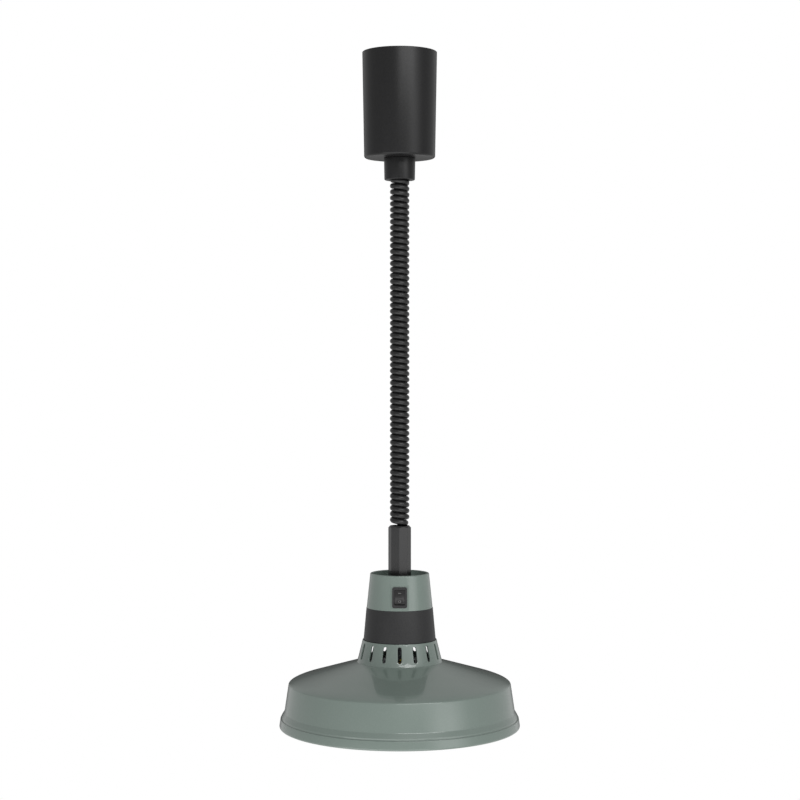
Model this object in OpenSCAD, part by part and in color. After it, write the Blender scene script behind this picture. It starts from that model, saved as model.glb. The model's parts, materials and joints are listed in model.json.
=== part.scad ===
// Pull-down heat lamp warmer: a ceiling canopy, a curly drop cord and a vented lamp head.
// Sizes are in millimetres. The ceiling is the plane z = 0, the lamp hangs below it, and the
// switch faces -Y.

/* [Ceiling canopy] */
// Height of the canopy cup below the ceiling
canopy_h = 121; // [100:1:180]
// Outside diameter of the canopy at the ceiling
canopy_top_d = 85.2; // [85:0.2:120]
// Outside diameter of the canopy at its closed end
canopy_bottom_d = 81; // [78:0.5:116]
// Wall and floor thickness of the canopy
canopy_wall = 2; // [1.2:0.1:3]
// Radius of the edge round the canopy's closed end
canopy_edge_r = 4; // [1:0.5:6]
// Gap between the canopy's rim and the ceiling
canopy_gap = 0.5; // [0:0.1:2]

/* [Ceiling bracket] */
// Distance between the two ceiling screw holes
ceiling_hole_spacing = 58; // [50:1:60]
// Diameter of each ceiling screw hole
ceiling_hole_d = 5; // [4:0.1:5.5]
// Width of the bracket strip
bracket_w = 24; // [20:1:26]
// Thickness of the bracket strip
bracket_t = 2; // [1.5:0.1:2.5]

/* [Drop cord] */
// Visible length of the curly cord when the lamp is pushed up
coil_len = 394; // [250:1:600]
// Outside diameter of the curly cord
coil_d = 22.4; // [20:0.2:23]
// Diameter of the cord itself
cord_d = 6.4; // [5:0.1:8]

/* [Collar and sleeve] */
// Height of the collar under the canopy
collar_h = 25; // [15:1:40]
// Diameter of the collar at its top
collar_top_d = 35.8; // [32:0.2:44]
// Diameter of the collar at its mouth
collar_end_d = 34.8; // [31:0.2:43]
// Diameter of the pocket in the collar's mouth that takes the coil
mouth_d = 24; // [23.5:0.5:28]
// Depth of that pocket
mouth_depth = 6; // [3:1:10]
// Distance across the flats of the octagonal sleeve
sleeve_af = 24; // [22:0.5:29]
// Visible length of the sleeve above the neck's web
sleeve_h = 62; // [40:1:90]
// Turn of the sleeve about its own axis
sleeve_turn = -2.5; // [-22.5:0.5:22.5]
// Diameter of the threaded spigots on the collar and the sleeve
spigot_d = 16; // [14:0.5:18]
// Diameter of the bore through the collar and the sleeve
spigot_bore_d = 11; // [10:0.5:12]

/* [Neck housing] */
// Outside diameter of the neck at its rim
neck_rim_d = 67; // [64:1:72]
// Outside diameter of the neck at its lower end
neck_end_d = 75.1; // [74:0.2:78]
// Height of the neck housing
neck_h = 39.2; // [38:0.2:50]
// Wall thickness of the neck housing
neck_wall = 2.4; // [1.8:0.1:3]
// Depth of the web below the rim
web_depth = 8; // [6:0.5:12]
// Thickness of the web
web_t = 3; // [2:0.5:4]

/* [Rocker switch] */
// Width of the switch bezel
bezel_w = 16.5; // [15:0.5:20]
// Height of the switch bezel
bezel_h = 23; // [20:0.5:26]
// Width of the rocker
rocker_w = 11.2; // [9:0.2:13]
// Length of the opening that the rocker works in
rocker_slot_h = 17; // [15:0.5:18]
// Distance of the switch's centre below the neck's rim
switch_drop = 24; // [20:0.5:26]
// Full travel of the rocker in degrees
rocker_travel = 18; // [12:1:20]

/* [Grip band and vent collar] */
// Height of the grip band
grip_h = 36.6; // [20:0.2:60]
// Outside diameter of the grip band at its top
grip_top_d = 75.8; // [75:0.2:80]
// Outside diameter of the grip band at its lower end
grip_end_d = 82.4; // [81:0.2:84]
// Wall thickness of the grip band
grip_wall = 2.5; // [2:0.1:3.5]
// Height of the vent collar
vent_h = 25.1; // [22:0.1:40]
// Outside diameter of the vent collar at its top
vent_top_d = 84.4; // [84:0.2:90]
// Outside diameter of the vent collar at its base
vent_base_d = 98; // [94:1:120]
// Wall thickness of the vent collar
vent_wall = 2.2; // [1.8:0.1:3]
// Number of vent slots
vent_slots = 16; // [8:1:20]
// Width of each vent slot
vent_slot_w = 4.4; // [2:0.2:6]

/* [Shade] */
// Diameter of the shade over its skirt
shade_d = 275; // [250:1:340]
// Thickness of the shade's sheet
shade_t = 1.2; // [0.8:0.1:2]
// Fall of the cone for each millimetre of radius
cone_slope = 0.295; // [0.25:0.005:0.4]
// Height of the wall below the shoulder
wall_h = 33.3; // [25:0.1:50]
// Height of the ledge where the wall steps out
ledge_h = 6.5; // [4:0.5:10]
// Height of the skirt below the ledge
skirt_h = 11.8; // [8:0.2:20]
// Width of the turned-in lip at the mouth
lip_w = 7.5; // [5:0.5:10]

/* [Reflector and lamp window] */
// Thickness of the reflector's sheet
reflector_t = 0.8; // [0.5:0.1:1.5]
// Length of the lamp window
window_l = 111; // [100:1:135]
// Width of the lamp window
window_w = 64; // [60:1:70]
// Distance from the window's end to the frame's end
frame_end_margin = 41.5; // [40:0.5:46]
// Distance from the window's side to the frame's side
frame_side_margin = 20; // [19:0.5:24]
// Width of the frame's double ridge
ridge_w = 8.5; // [7:0.5:9]
// Depth of the lamp bracket from its strap to its feet
bracket_depth = 26; // [25:0.5:32]
// Diameter of the quartz tube
tube_d = 12.5; // [10:0.5:14]
// Diameter of each guard wire
guard_wire_d = 2.5; // [2:0.1:3]
// Drop of the guard below the lamp plate
guard_drop = 14; // [8:0.5:20]
// Number of guard wires
guard_wires_n = 5; // [3:2:7]

/* [Hidden] */

$fn = 96;
// Gap all round a piece that drops into another
clear = 0.2;
// Gap at rest between pieces that are close but don't touch
near = 0.3;
// Extra depth that takes a cut clean through a wall
through = 1;

// Heights, from the ceiling down
z_canopy_end = -canopy_h;
z_canopy_floor = z_canopy_end + canopy_wall;
z_bracket_floor = z_canopy_floor + bracket_t;
z_collar_end = z_canopy_end - collar_h;
z_coil_top = z_collar_end + mouth_depth;
z_sleeve_top = z_collar_end - coil_len;
z_web = z_sleeve_top - sleeve_h;
z_web_under = z_web - web_t;
z_rim = z_web + web_depth;
z_neck_end = z_rim - neck_h;
z_grip_end = z_neck_end - grip_h;
z_shade_top = z_grip_end - vent_h;
z_shade_under = z_shade_top - shade_t;
chassis_t = 1.5;
z_chassis_under = z_shade_under - chassis_t;
strap_t = 1.5;
strap_half_w = 14;
leg_in = window_l / 2 + 4.7;
// The strap hangs low enough for its ends to clear the shade's cone
strap_room = 1.1;
strap_end_r = norm([leg_in + strap_t, strap_half_w]);
cone_fall = cone_slope * (strap_end_r - vent_base_d / 2) + shade_t / cos(atan(cone_slope)) - shade_t;
strap_gap = max(3.9, cone_fall + strap_room - chassis_t);
z_strap_top = z_chassis_under - strap_gap;
z_strap_under = z_strap_top - strap_t;
plate_t = 1;
z_plate_top = z_strap_under - bracket_depth;
z_plate_under = z_plate_top - plate_t;
lamp_height = 12;
z_lamp = z_plate_top + lamp_height;

// Ceiling bracket: legs stand inside the screw holes and the feet run outside them
leg_x = ceiling_hole_spacing / 2 - 9;
foot_x = ceiling_hole_spacing / 2 + 8;

// Threaded spigots, their washers and their nuts
washer_d = 24;
washer_t = 1.5;
nut_af = 22;
nut_h = 6;
z_top_spigot = z_bracket_floor + washer_t + nut_h + 2.5;
z_head_spigot = z_web_under - washer_t - nut_h - 2.5;

// Cord clamps
clamp_l = 26;
clamp_w = 14;
clamp_h = 10;
clamp_split = 0.6;
clamp_screw_x = 8.5;
jacket_end = 5;

// Terminal block on the bracket's right leg
block_w = 24;
block_t = 12;
block_h = 22;
block_z = -60;
pole_pitch = 8;
barrel_d = 5.6;
barrel_bore_d = 3.2;
lug_h = 6;
block_x = leg_x - block_t;
pole_x = block_x + block_t / 2;
earth_z = -70;

// Wires, and how far each conductor lies from the cord's axis
wire_d = 2.2;
lay_r = 1.8;
wire_sides = 8;
wire_steps = 3;

// Neck
rim_round = 2;
boss_d = 9;
boss_rise = 2;
boss_len = 18;
tie_r = neck_rim_d / 2 - 7.5;
tie_d = 4;
tie_angles = [90, 210, 330];
tie_head_d = 7;
tie_head_h = 2.6;
nut4_af = 7;
nut4_h = 3.2;
tongue = 2;
tongue_h = 3;
hub_r = 18.5;
web_slot_w = 3.2;
web_slots = 15;

// Switch: the bezel lies on the neck's sloping front
flank_slope = (neck_end_d - neck_rim_d) / 2 / neck_h;
flank_a = atan(flank_slope);
switch_z = z_rim - switch_drop;
switch_r = neck_rim_d / 2 + switch_drop * flank_slope;
bezel_t = 2;
bezel_sink = 1;
bezel_corner = 2;
housing_w = 12.8;
housing_h = 19;
housing_depth = 13;
housing_floor = 7;
pivot_sink = 1.2;
pivot_d = 2.4;
pivot_len = 0.7;
pivot_play = 0.05;
rocker_r = 8.3;
rocker_side_gap = (housing_w - rocker_w) / 4;
spade_w = 4.8;
spade_t = 0.8;
spade_len = 8;
spade_offset = 5;

// Shade outline
shade_hole_r = 38;
skirt_flare = 1.7;
ledge_step = 4.4;
wall_flare = 5;
lip_round = 2;
shoulder_in = 16.4;
shoulder_down = 3;
base_r = vent_base_d / 2;
rim_r = shade_d / 2;
skirt_r = rim_r - skirt_flare;
wall_end_r = skirt_r - ledge_step;
corner_r = wall_end_r - wall_flare;
z_corner = z_shade_top - cone_slope * (corner_r - base_r);
z_wall_end = z_corner - wall_h;
z_skirt = z_wall_end - ledge_h;
z_mouth = z_skirt - skirt_h;
z_lip_top = z_mouth + shade_t;

// Reflector outline, with the plane of the frame's end as its reference
reflector_slope = 0.22;
reflector_rise = 2.1;
reflector_corner_r = rim_r - 15.2;
reflector_edge_r = rim_r - 8.2;
reflector_flange = 4.2;
reflector_inner_r = 45;

// Lamp frame and plate
frame_l = window_l + 2 * frame_end_margin;
frame_w = window_w + 2 * frame_side_margin;
frame_t = 1.2;
// The frame's top stands just over the reflector where it passes the frame's sides
frame_top = reflector_rise + reflector_slope * (frame_l - frame_w) / 2 + 2;
frame_lip = 3;
ledge_w = 3;
window_corner = 4;
plate_screw_x = window_l / 2 + 8.5;
plate_screw_y = window_w / 2 - 6;
plate_screw_d = 4;
plate_head_d = 9;
plate_head_h = 2.4;

// Lamp bracket and trough
leg_half_w = window_w / 2 - 1;
leg_neck_h = 9;
foot_reach = 10.5;
trough_t = 0.8;
trough_half_l = window_l / 2 + 0.5;
trough_half_w = window_w / 2 + 0.3;
trough_top_half_w = 15;
trough_flange = 2.5;
pin_hole_d = 9;
spacer_x = 14;
spacer_d = 8;

// Lamp, its holders and its contacts
cap_t = 10;
cap_w = 24;
cap_h = 9;
cap_out = window_l / 2 - 15;
nib_d = 7;
nib_l = 4;
pin_d = 3;
stub_l = 2.5;
holder_in = leg_in + strap_t;
holder_t = 12;
holder_w = 22;
holder_h = 18;
holder_screw_y = 7;
holder_screw_d = 3;
cup_d = 7.5;
cup_l = 3.7;
rod_d = 3;
rod_play = 0.1;
spring_d = 6.4;
spring_wire_d = 0.9;
socket_l = 6.5;

// Guard
guard_bend = 5;
guard_y = frame_w / 2 - 3.7;
guard_head = 1;

function unit(v) = v / norm(v);
function turned(v) = [v.y, -v.x];

// Arc of the given radius in place of the corner b between a and c
function corner_arc(a, b, c, r, n = 6) =
    let (
        u = unit(a - b),
        v = unit(c - b),
        half = acos(u * v) / 2,
        start = b + u * r / tan(half),
        centre = b + unit(u + v) * r / sin(half),
        from = atan2(start.y - centre.y, start.x - centre.x),
        side = u.x * v.y - u.y * v.x > 0 ? 1 : -1,
        sweep = -side * (180 - 2 * half)
    )
    [for (i = [0:n]) centre + r * [cos(from + sweep * i / n), sin(from + sweep * i / n)]];

// Line through points [x, y, radius], with each corner rounded by its radius
function rounded(points) = [
    for (i = [0:len(points) - 1])
        let (p = points[i], b = [p.x, p.y])
        each p[2] == 0 ? [b] : corner_arc(
            [points[i - 1].x, points[i - 1].y], b, [points[i + 1].x, points[i + 1].y], p[2])
];

// Quadratic curve from a to c, pulled towards b
function curve(a, b, c, n = 12) = [
    for (i = [0:n]) let (t = i / n) (1 - t) * (1 - t) * a + 2 * t * (1 - t) * b + t * t * c
];

// The same line, moved to its right-hand side by t
function beside(line, t) = [
    for (i = [0:len(line) - 1])
        let (
            d1 = unit(line[max(i, 1)] - line[max(i, 1) - 1]),
            d2 = unit(line[min(i, len(line) - 2) + 1] - line[min(i, len(line) - 2)]),
            n1 = turned(d1),
            n2 = turned(d2)
        )
        line[i] + (n1 + n2) / (1 + n1 * n2) * t
];

function reversed(list) = [for (i = [len(list) - 1:-1:0]) list[i]];

// Smooth line through a route's own points
function smooth(p, steps = wire_steps) = [
    for (i = [0:len(p) - 2])
        let (
            a = p[max(i - 1, 0)],
            b = p[i],
            c = p[i + 1],
            d = p[min(i + 2, len(p) - 1)]
        )
        for (k = [0:i == len(p) - 2 ? steps : steps - 1])
            let (t = k / steps)
            0.5 * (2 * b + (c - a) * t + (2 * a - 5 * b + 4 * c - d) * t * t
                + (3 * b - a - 3 * c + d) * t * t * t)
];

// Cross directions that turn as little as possible along a line
function cross_directions(tangents) = [
    for (
        i = 0, n = unit(cross(tangents[0], [0.31, 0.95, 0.05]));
        i < len(tangents);
        i = i + 1,
        n = i < len(tangents) ? unit(n - (n * tangents[i]) * tangents[i]) : n
    ) n
];

// Round wire swept along a route
module wire(route, d = wire_d, sides = wire_sides) {
    line = smooth(route);
    last = len(line) - 1;
    tangents = [for (i = [0:last]) unit(line[min(i + 1, last)] - line[max(i - 1, 0)])];
    across = cross_directions(tangents);
    points = [
        for (i = [0:last], k = [0:sides - 1])
            let (a = 360 * k / sides, up = cross(tangents[i], across[i]))
            line[i] + d / 2 * (cos(a) * across[i] + sin(a) * up)
    ];
    faces = [
        [for (k = [0:sides - 1]) k],
        [for (k = [sides - 1:-1:0]) last * sides + k],
        for (i = [0:last - 1], k = [0:sides - 1])
            let (a = i * sides + k, b = i * sides + (k + 1) % sides)
            each [[a, b + sides, b], [a, a + sides, b + sides]]
    ];
    polyhedron(points, [for (f = faces) reversed(f)]);
}

// Sheet of thickness t on the right-hand side of an outline, spun round Z
module spun_sheet(line, t) {
    rotate_extrude() polygon(concat(line, reversed(beside(line, t))));
}

module ring(r_out, r_in, h) {
    difference() {
        cylinder(r = r_out, h = h);
        translate([0, 0, -through]) cylinder(r = r_in, h = h + 2 * through);
    }
}

module hexagon(af, h) {
    cylinder(d = af / cos(30), h = h, $fn = 6);
}

// Cylinder along +X from the given point
module rod_x(d, l) {
    rotate([0, 90, 0]) cylinder(d = d, h = l);
}

module stadium(l, w) {
    square([l - w, w], center = true);
    for (s = [-1, 1]) translate([s * (l - w) / 2, 0]) circle(d = w);
}

module rounded_box(l, w, r) {
    square([l - 2 * r, w], center = true);
    square([l, w - 2 * r], center = true);
    for (x = [-1, 1], y = [-1, 1]) translate([x * (l / 2 - r), y * (w / 2 - r)]) circle(r);
}

// Stadium-shaped ring between two insets from the frame's outer edge
module frame_ring(inset_out, inset_in, z_low, z_high) {
    translate([0, 0, z_low]) linear_extrude(z_high - z_low) difference() {
        stadium(frame_l - 2 * inset_out, frame_w - 2 * inset_out);
        stadium(frame_l - 2 * inset_in, frame_w - 2 * inset_in);
    }
}

module screw(d, length, head_d, head_h) {
    translate([0, 0, -length]) cylinder(d = d, h = length + through / 2);
    cylinder(d = head_d, h = head_h);
}

// Flanged bush that lines a cord bore; its flange lies on the pocket's floor at z = 0
module cord_bush(flange_d) {
    difference() {
        union() {
            cylinder(d = flange_d, h = 2);
            translate([0, 0, -10]) cylinder(d = spigot_bore_d - 2 * near, h = 10 + through);
        }
        translate([0, 0, -10 - through]) cylinder(d = cord_d + 2 * clear, h = 12 + 2 * through);
    }
}

// Two halves that grip the cord, with their lower face at z = 0
module cord_clamp() {
    for (s = [-1, 1]) difference() {
        translate([-clamp_l / 2, s > 0 ? clamp_split / 2 : -clamp_w / 2, 0])
            cube([clamp_l, (clamp_w - clamp_split) / 2, clamp_h]);
        translate([0, 0, -through]) cylinder(d = cord_d + clear, h = clamp_h + 2 * through);
        for (x = [-1, 1]) translate([x * clamp_screw_x, -clamp_w, clamp_h / 2])
            rotate([-90, 0, 0]) cylinder(d = 3 + clear, h = 2 * clamp_w);
    }
}

module cord_clamp_screws() {
    for (x = [-1, 1]) translate([x * clamp_screw_x, -clamp_w / 2, clamp_h / 2])
        rotate([90, 0, 0]) screw(3, clamp_w, 5.6, 2);
}

// Ring lug with its barrel along -Y of its own plane
module lug() {
    difference() {
        union() {
            cylinder(d = 9, h = 0.8);
            translate([-2, -11, 0]) cube([4, 8, 0.8]);
        }
        translate([0, 0, -through]) cylinder(d = 4.3, h = 3);
    }
}

// Places a piece on the neck's sloping front: x to the right, y up the slope, z outwards
module at_switch() {
    translate([0, -switch_r, switch_z]) rotate([90 - flank_a, 0, 0]) children();
}

// ---- Ceiling end ----

module mounting_bracket() {
    color("silver") difference() {
        union() {
            for (s = [-1, 1]) {
                translate([s > 0 ? leg_x : -foot_x, -bracket_w / 2, -bracket_t])
                    cube([foot_x - leg_x, bracket_w, bracket_t]);
                translate([s > 0 ? leg_x : -leg_x - bracket_t, -bracket_w / 2, z_canopy_floor])
                    cube([bracket_t, bracket_w, -z_canopy_floor]);
            }
            translate([-leg_x - bracket_t, -bracket_w / 2, z_canopy_floor])
                cube([2 * (leg_x + bracket_t), bracket_w, bracket_t]);
        }
        for (s = [-1, 1]) translate([s * ceiling_hole_spacing / 2, 0, -bracket_t - through])
            cylinder(d = ceiling_hole_d, h = bracket_t + 2 * through);
        translate([0, 0, z_canopy_floor - through])
            cylinder(d = spigot_d + 2 * clear, h = bracket_t + 2 * through);
        translate([leg_x - through, 0, block_z - lug_h / 2]) rod_x(3 + clear, 4);
        translate([-leg_x - 3, 0, earth_z]) rod_x(4 + clear, 4);
    }
}

module canopy() {
    slope = (canopy_top_d - canopy_bottom_d) / 2 / (canopy_h - canopy_gap);
    color("#2b2b2c") difference() {
        rotate_extrude() polygon(concat(
            [[0, z_canopy_end]],
            corner_arc([0, z_canopy_end], [canopy_bottom_d / 2, z_canopy_end],
                [canopy_top_d / 2, -canopy_gap], canopy_edge_r, 8),
            [[canopy_top_d / 2, -canopy_gap],
             [canopy_top_d / 2 - canopy_wall, -canopy_gap]],
            reversed(corner_arc([0, z_canopy_floor],
                [canopy_bottom_d / 2 - canopy_wall + canopy_wall * slope, z_canopy_floor],
                [canopy_top_d / 2 - canopy_wall, -canopy_gap],
                max(canopy_edge_r - canopy_wall, 0.5), 8)),
            [[0, z_canopy_floor]]
        ));
        translate([0, 0, z_canopy_end - through])
            cylinder(d = spigot_d + 2 * clear, h = canopy_wall + 2 * through);
    }
}

module collar() {
    color("#2b2b2c") difference() {
        union() {
            rotate_extrude() polygon(concat(
                [[0, z_collar_end]],
                corner_arc([0, z_collar_end], [collar_end_d / 2, z_collar_end],
                    [collar_top_d / 2, z_canopy_end], 1, 4),
                [[collar_top_d / 2, z_canopy_end], [0, z_canopy_end]]
            ));
            translate([0, 0, z_canopy_end - through])
                cylinder(d = spigot_d, h = z_top_spigot - z_canopy_end + through);
        }
        translate([0, 0, z_collar_end - through]) cylinder(d = mouth_d, h = mouth_depth + through);
        translate([0, 0, z_collar_end])
            cylinder(d = spigot_bore_d, h = z_top_spigot - z_collar_end + through);
        // Step that the bush's flange lies in
        translate([0, 0, z_coil_top - through]) cylinder(d = 15 + 2 * clear, h = 2 + near + through);
    }
}

module collar_bush() {
    color("#1c1c1c") translate([0, 0, z_coil_top + 2 + near]) mirror([0, 0, 1]) cord_bush(15);
}

module collar_washer() {
    color("silver") translate([0, 0, z_bracket_floor])
        ring(washer_d / 2, spigot_d / 2 + clear, washer_t);
}

module collar_nut() {
    color("silver") translate([0, 0, z_bracket_floor + washer_t]) difference() {
        hexagon(nut_af, nut_h);
        translate([0, 0, -through]) cylinder(d = spigot_d + clear, h = nut_h + 2 * through);
    }
}

module top_cord_clamp() {
    color("#dcd8cf") translate([0, 0, z_top_spigot]) cord_clamp();
}

module top_clamp_screws() {
    color("silver") translate([0, 0, z_top_spigot]) cord_clamp_screws();
}

module terminal_block() {
    color("#dcd8cf") difference() {
        union() {
            translate([block_x, -block_w / 2, block_z]) cube([block_t, block_w, block_h]);
            translate([leg_x - 3, -4, block_z - lug_h]) cube([3, 8, lug_h + through]);
        }
        for (i = [-1:1]) {
            translate([pole_x, i * pole_pitch, block_z - through])
                cylinder(d = barrel_d + clear, h = block_h + 2 * through);
            for (z = [5, block_h - 5])
                translate([block_x - through, i * pole_pitch, block_z + z])
                    rod_x(4 + clear, pole_x - block_x + through);
        }
        translate([leg_x - 4, 0, block_z - lug_h / 2]) rod_x(3 + clear, 5);
    }
}

module terminal_barrels() {
    color("goldenrod") for (i = [-1:1])
        translate([pole_x, i * pole_pitch, block_z + 1]) ring(barrel_d / 2, barrel_bore_d / 2, 20);
}

module terminal_screws() {
    color("silver") for (i = [-1:1], z = [5, block_h - 5])
        translate([block_x + 0.4, i * pole_pitch, block_z + z]) difference() {
            rod_x(4, pole_x - block_x - barrel_d / 2 - 0.5);
            translate([-0.1, -2.5, -0.4]) cube([0.8, 5, 0.8]);
        }
}

module block_screw() {
    color("silver") translate([leg_x - 3, 0, block_z - lug_h / 2])
        rotate([0, -90, 0]) screw(3, 7, 5.4, 2);
}

module earth_lug() {
    color("goldenrod") translate([-leg_x, 0, earth_z]) rotate([90, 0, 90]) lug();
}

module earth_screw() {
    color("goldenrod") translate([-leg_x + 0.8, 0, earth_z]) rotate([0, 90, 0]) screw(4, 5, 7, 2.4);
}

z_jacket_top = z_top_spigot + clamp_h + jacket_end;

module cord_tail_top() {
    color("#1f1f20") translate([0, 0, z_coil_top])
        cylinder(d = cord_d, h = z_jacket_top - z_coil_top);
}

// Conductor from the cord's end up into a barrel of the terminal block
module canopy_conductor(side) {
    start = [lay_r / 2, lay_r * 0.87 * side, z_jacket_top + near];
    pole = [pole_x, side * pole_pitch, block_z + 7];
    wire([
        start,
        start + [0, 0, 5],
        [pole_x / 3, side * 4, z_jacket_top + 10],
        pole - [1, 0, 14],
        pole - [0, 0, 8],
        pole
    ]);
}

module canopy_wire_live() {
    color("saddlebrown") canopy_conductor(-1);
}

module canopy_wire_neutral() {
    color("steelblue") canopy_conductor(1);
}

module canopy_wire_earth() {
    start = [-lay_r, 0, z_jacket_top + near];
    tip = [-leg_x + 0.8 + wire_d / 2, 0, earth_z - 8];
    color("yellowgreen") wire([start, start + [-1, 0, 4], [-8, 0, z_jacket_top + 7],
        tip - [-1, 0, 6], tip]);
}

module coil_cord() {
    color("#1f1f20") translate([0, 0, z_sleeve_top])
        cylinder(d = coil_d, h = z_coil_top - z_sleeve_top);
}

// ---- Sleeve and neck ----

sleeve_mouth_d = 18;
sleeve_mouth_depth = 10;
sleeve_chamfer = 2.4;

module sleeve() {
    color("#333335") difference() {
        union() {
            intersection() {
                translate([0, 0, z_web]) rotate([0, 0, sleeve_turn])
                    cylinder(d = sleeve_af / cos(22.5), h = sleeve_h, $fn = 8);
                rotate_extrude() polygon([
                    [0, z_web],
                    [sleeve_af, z_web],
                    [sleeve_af, z_sleeve_top - sleeve_af * 0.5 - sleeve_chamfer],
                    [sleeve_af / 2 - 1.1, z_sleeve_top],
                    [0, z_sleeve_top]
                ]);
            }
            translate([0, 0, z_head_spigot])
                cylinder(d = spigot_d, h = z_web - z_head_spigot + through);
        }
        translate([0, 0, z_head_spigot - through])
            cylinder(d = spigot_bore_d, h = z_sleeve_top - z_head_spigot);
        translate([0, 0, z_sleeve_top - sleeve_mouth_depth])
            cylinder(d = sleeve_mouth_d, h = sleeve_mouth_depth + through);
    }
}

module sleeve_bush() {
    color("#1c1c1c") translate([0, 0, z_sleeve_top - sleeve_mouth_depth]) cord_bush(16);
}

module sleeve_washer() {
    color("silver") translate([0, 0, z_web_under - washer_t])
        ring(washer_d / 2, spigot_d / 2 + clear, washer_t);
}

module sleeve_nut() {
    color("silver") translate([0, 0, z_web_under - washer_t - nut_h]) difference() {
        hexagon(nut_af, nut_h);
        translate([0, 0, -through]) cylinder(d = spigot_d + clear, h = nut_h + 2 * through);
    }
}

module head_cord_clamp() {
    color("#dcd8cf") translate([0, 0, z_head_spigot - clamp_h]) cord_clamp();
}

module head_clamp_screws() {
    color("silver") translate([0, 0, z_head_spigot - clamp_h]) cord_clamp_screws();
}

z_jacket_end = z_head_spigot - clamp_h - jacket_end;

module cord_tail_bottom() {
    color("#1f1f20") translate([0, 0, z_jacket_end])
        cylinder(d = cord_d, h = z_sleeve_top - z_jacket_end);
}

function neck_r(z) = neck_rim_d / 2 + (z_rim - z) * flank_slope;

module neck_shell() {
    rotate_extrude() polygon(concat(
        corner_arc([neck_rim_d / 2 - neck_wall, z_rim - 8], [neck_rim_d / 2 - neck_wall, z_rim],
            [neck_rim_d / 2, z_rim], 0.6, 3),
        corner_arc([neck_rim_d / 2 - neck_wall, z_rim], [neck_rim_d / 2, z_rim],
            [neck_end_d / 2, z_neck_end], rim_round * 0.7, 6),
        [[neck_end_d / 2, z_neck_end],
         [neck_end_d / 2 - neck_wall, z_neck_end],
         [neck_rim_d / 2 - neck_wall, z_rim - web_depth]]
    ));
}

module neck_housing() {
    wall_in = grip_top_d / 2 - grip_wall - 0.15;
    color("#84908a") difference() {
        union() {
            neck_shell();
            translate([0, 0, z_web_under])
                cylinder(r = neck_r(z_web_under) - neck_wall / 2, h = web_t);
            // Tongue that centres the grip band
            translate([0, 0, z_neck_end - tongue_h])
                ring(wall_in, wall_in - tongue, tongue_h + 4);
            for (a = tie_angles) rotate([0, 0, a]) translate([tie_r, 0, z_web - boss_len + boss_rise])
                cylinder(d = boss_d, h = boss_len);
            // Pad behind the switch, so that the pocket's floor keeps its thickness
            at_switch() translate([-10, -13.5, -bezel_sink - neck_wall])
                cube([20, 27, neck_wall]);
        }
        translate([0, 0, z_web_under - through])
            cylinder(d = spigot_d + 2 * clear, h = web_t + 2 * through);
        for (a = tie_angles) rotate([0, 0, a]) translate([tie_r, 0, z_web - boss_len])
            cylinder(d = tie_d + 2 * clear, h = boss_len + 2 * boss_rise);
        for (i = [0:web_slots - 1]) if (i % (web_slots / 3) != 0)
            rotate([0, 0, 90 + i * 360 / web_slots]) translate([0, 0, z_web_under - through])
                linear_extrude(web_t + 2 * through) {
                    translate([hub_r, -web_slot_w / 2])
                        square([neck_rim_d / 2 - neck_wall - 2.5 - hub_r, web_slot_w]);
                    translate([hub_r, 0]) circle(d = web_slot_w);
                    translate([neck_rim_d / 2 - neck_wall - 2.5, 0]) circle(d = web_slot_w);
                }
        at_switch() {
            translate([0, 0, -bezel_sink]) linear_extrude(8)
                rounded_box(bezel_w + 2 * clear, bezel_h + 2 * clear, bezel_corner + clear);
            translate([-housing_w / 2 - clear, -housing_h / 2 - clear, -9])
                cube([housing_w + 2 * clear, housing_h + 2 * clear, 12]);
        }
    }
}

// ---- Switch ----

module switch_body() {
    color("#1d1d1e") at_switch() difference() {
        union() {
            translate([0, 0, -bezel_sink]) linear_extrude(bezel_t)
                rounded_box(bezel_w, bezel_h, bezel_corner);
            translate([-housing_w / 2, -housing_h / 2, -bezel_sink - housing_depth])
                cube([housing_w, housing_h, housing_depth + through / 2]);
        }
        translate([-housing_w / 2 + 2 * rocker_side_gap - clear, -rocker_slot_h / 2, -housing_floor])
            cube([housing_w - 4 * rocker_side_gap + 2 * clear, rocker_slot_h, housing_floor + 3]);
        translate([-rocker_w / 2 - clear - pivot_len - 0.1, 0, -pivot_sink])
            rod_x(pivot_d + 2 * pivot_play, rocker_w + 2 * (clear + pivot_len + 0.1));
    }
}

module switch_terminals() {
    color("goldenrod") at_switch() for (s = [-1, 1])
        translate([-spade_w / 2, s * spade_offset - spade_t / 2,
            -bezel_sink - housing_depth - spade_len])
            cube([spade_w, spade_t, spade_len]);
}

// Rocker with its upper end pressed in; the two small marks are a bar and a ring
module rocker() {
    mark = 0.25;
    color("#262627") at_switch() translate([0, 0, -pivot_sink]) rotate([-rocker_travel / 2, 0, 0])
        difference() {
            union() {
                rotate([90, 0, 90]) translate([0, 0, -rocker_w / 2]) linear_extrude(rocker_w)
                    intersection() {
                        circle(r = rocker_r);
                        polygon([[-10, 3.3], [0, 1.3], [10, 3.3], [10, -4], [-10, -4]]);
                    }
                translate([-rocker_w / 2 - pivot_len, 0, 0])
                    rod_x(pivot_d, rocker_w + 2 * pivot_len);
            }
            translate([0, 4.6, 2.2]) translate([-1.6, -0.3, -mark]) cube([3.2, 0.6, 2]);
            translate([0, -4.6, 2.2 - mark]) ring(1.5, 1, 2);
        }
}

// ---- Grip band, vent collar and shade ----

function vent_r(z) = vent_top_d / 2
    + (z_grip_end - z) * (vent_base_d - vent_top_d) / 2 / vent_h;

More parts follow.
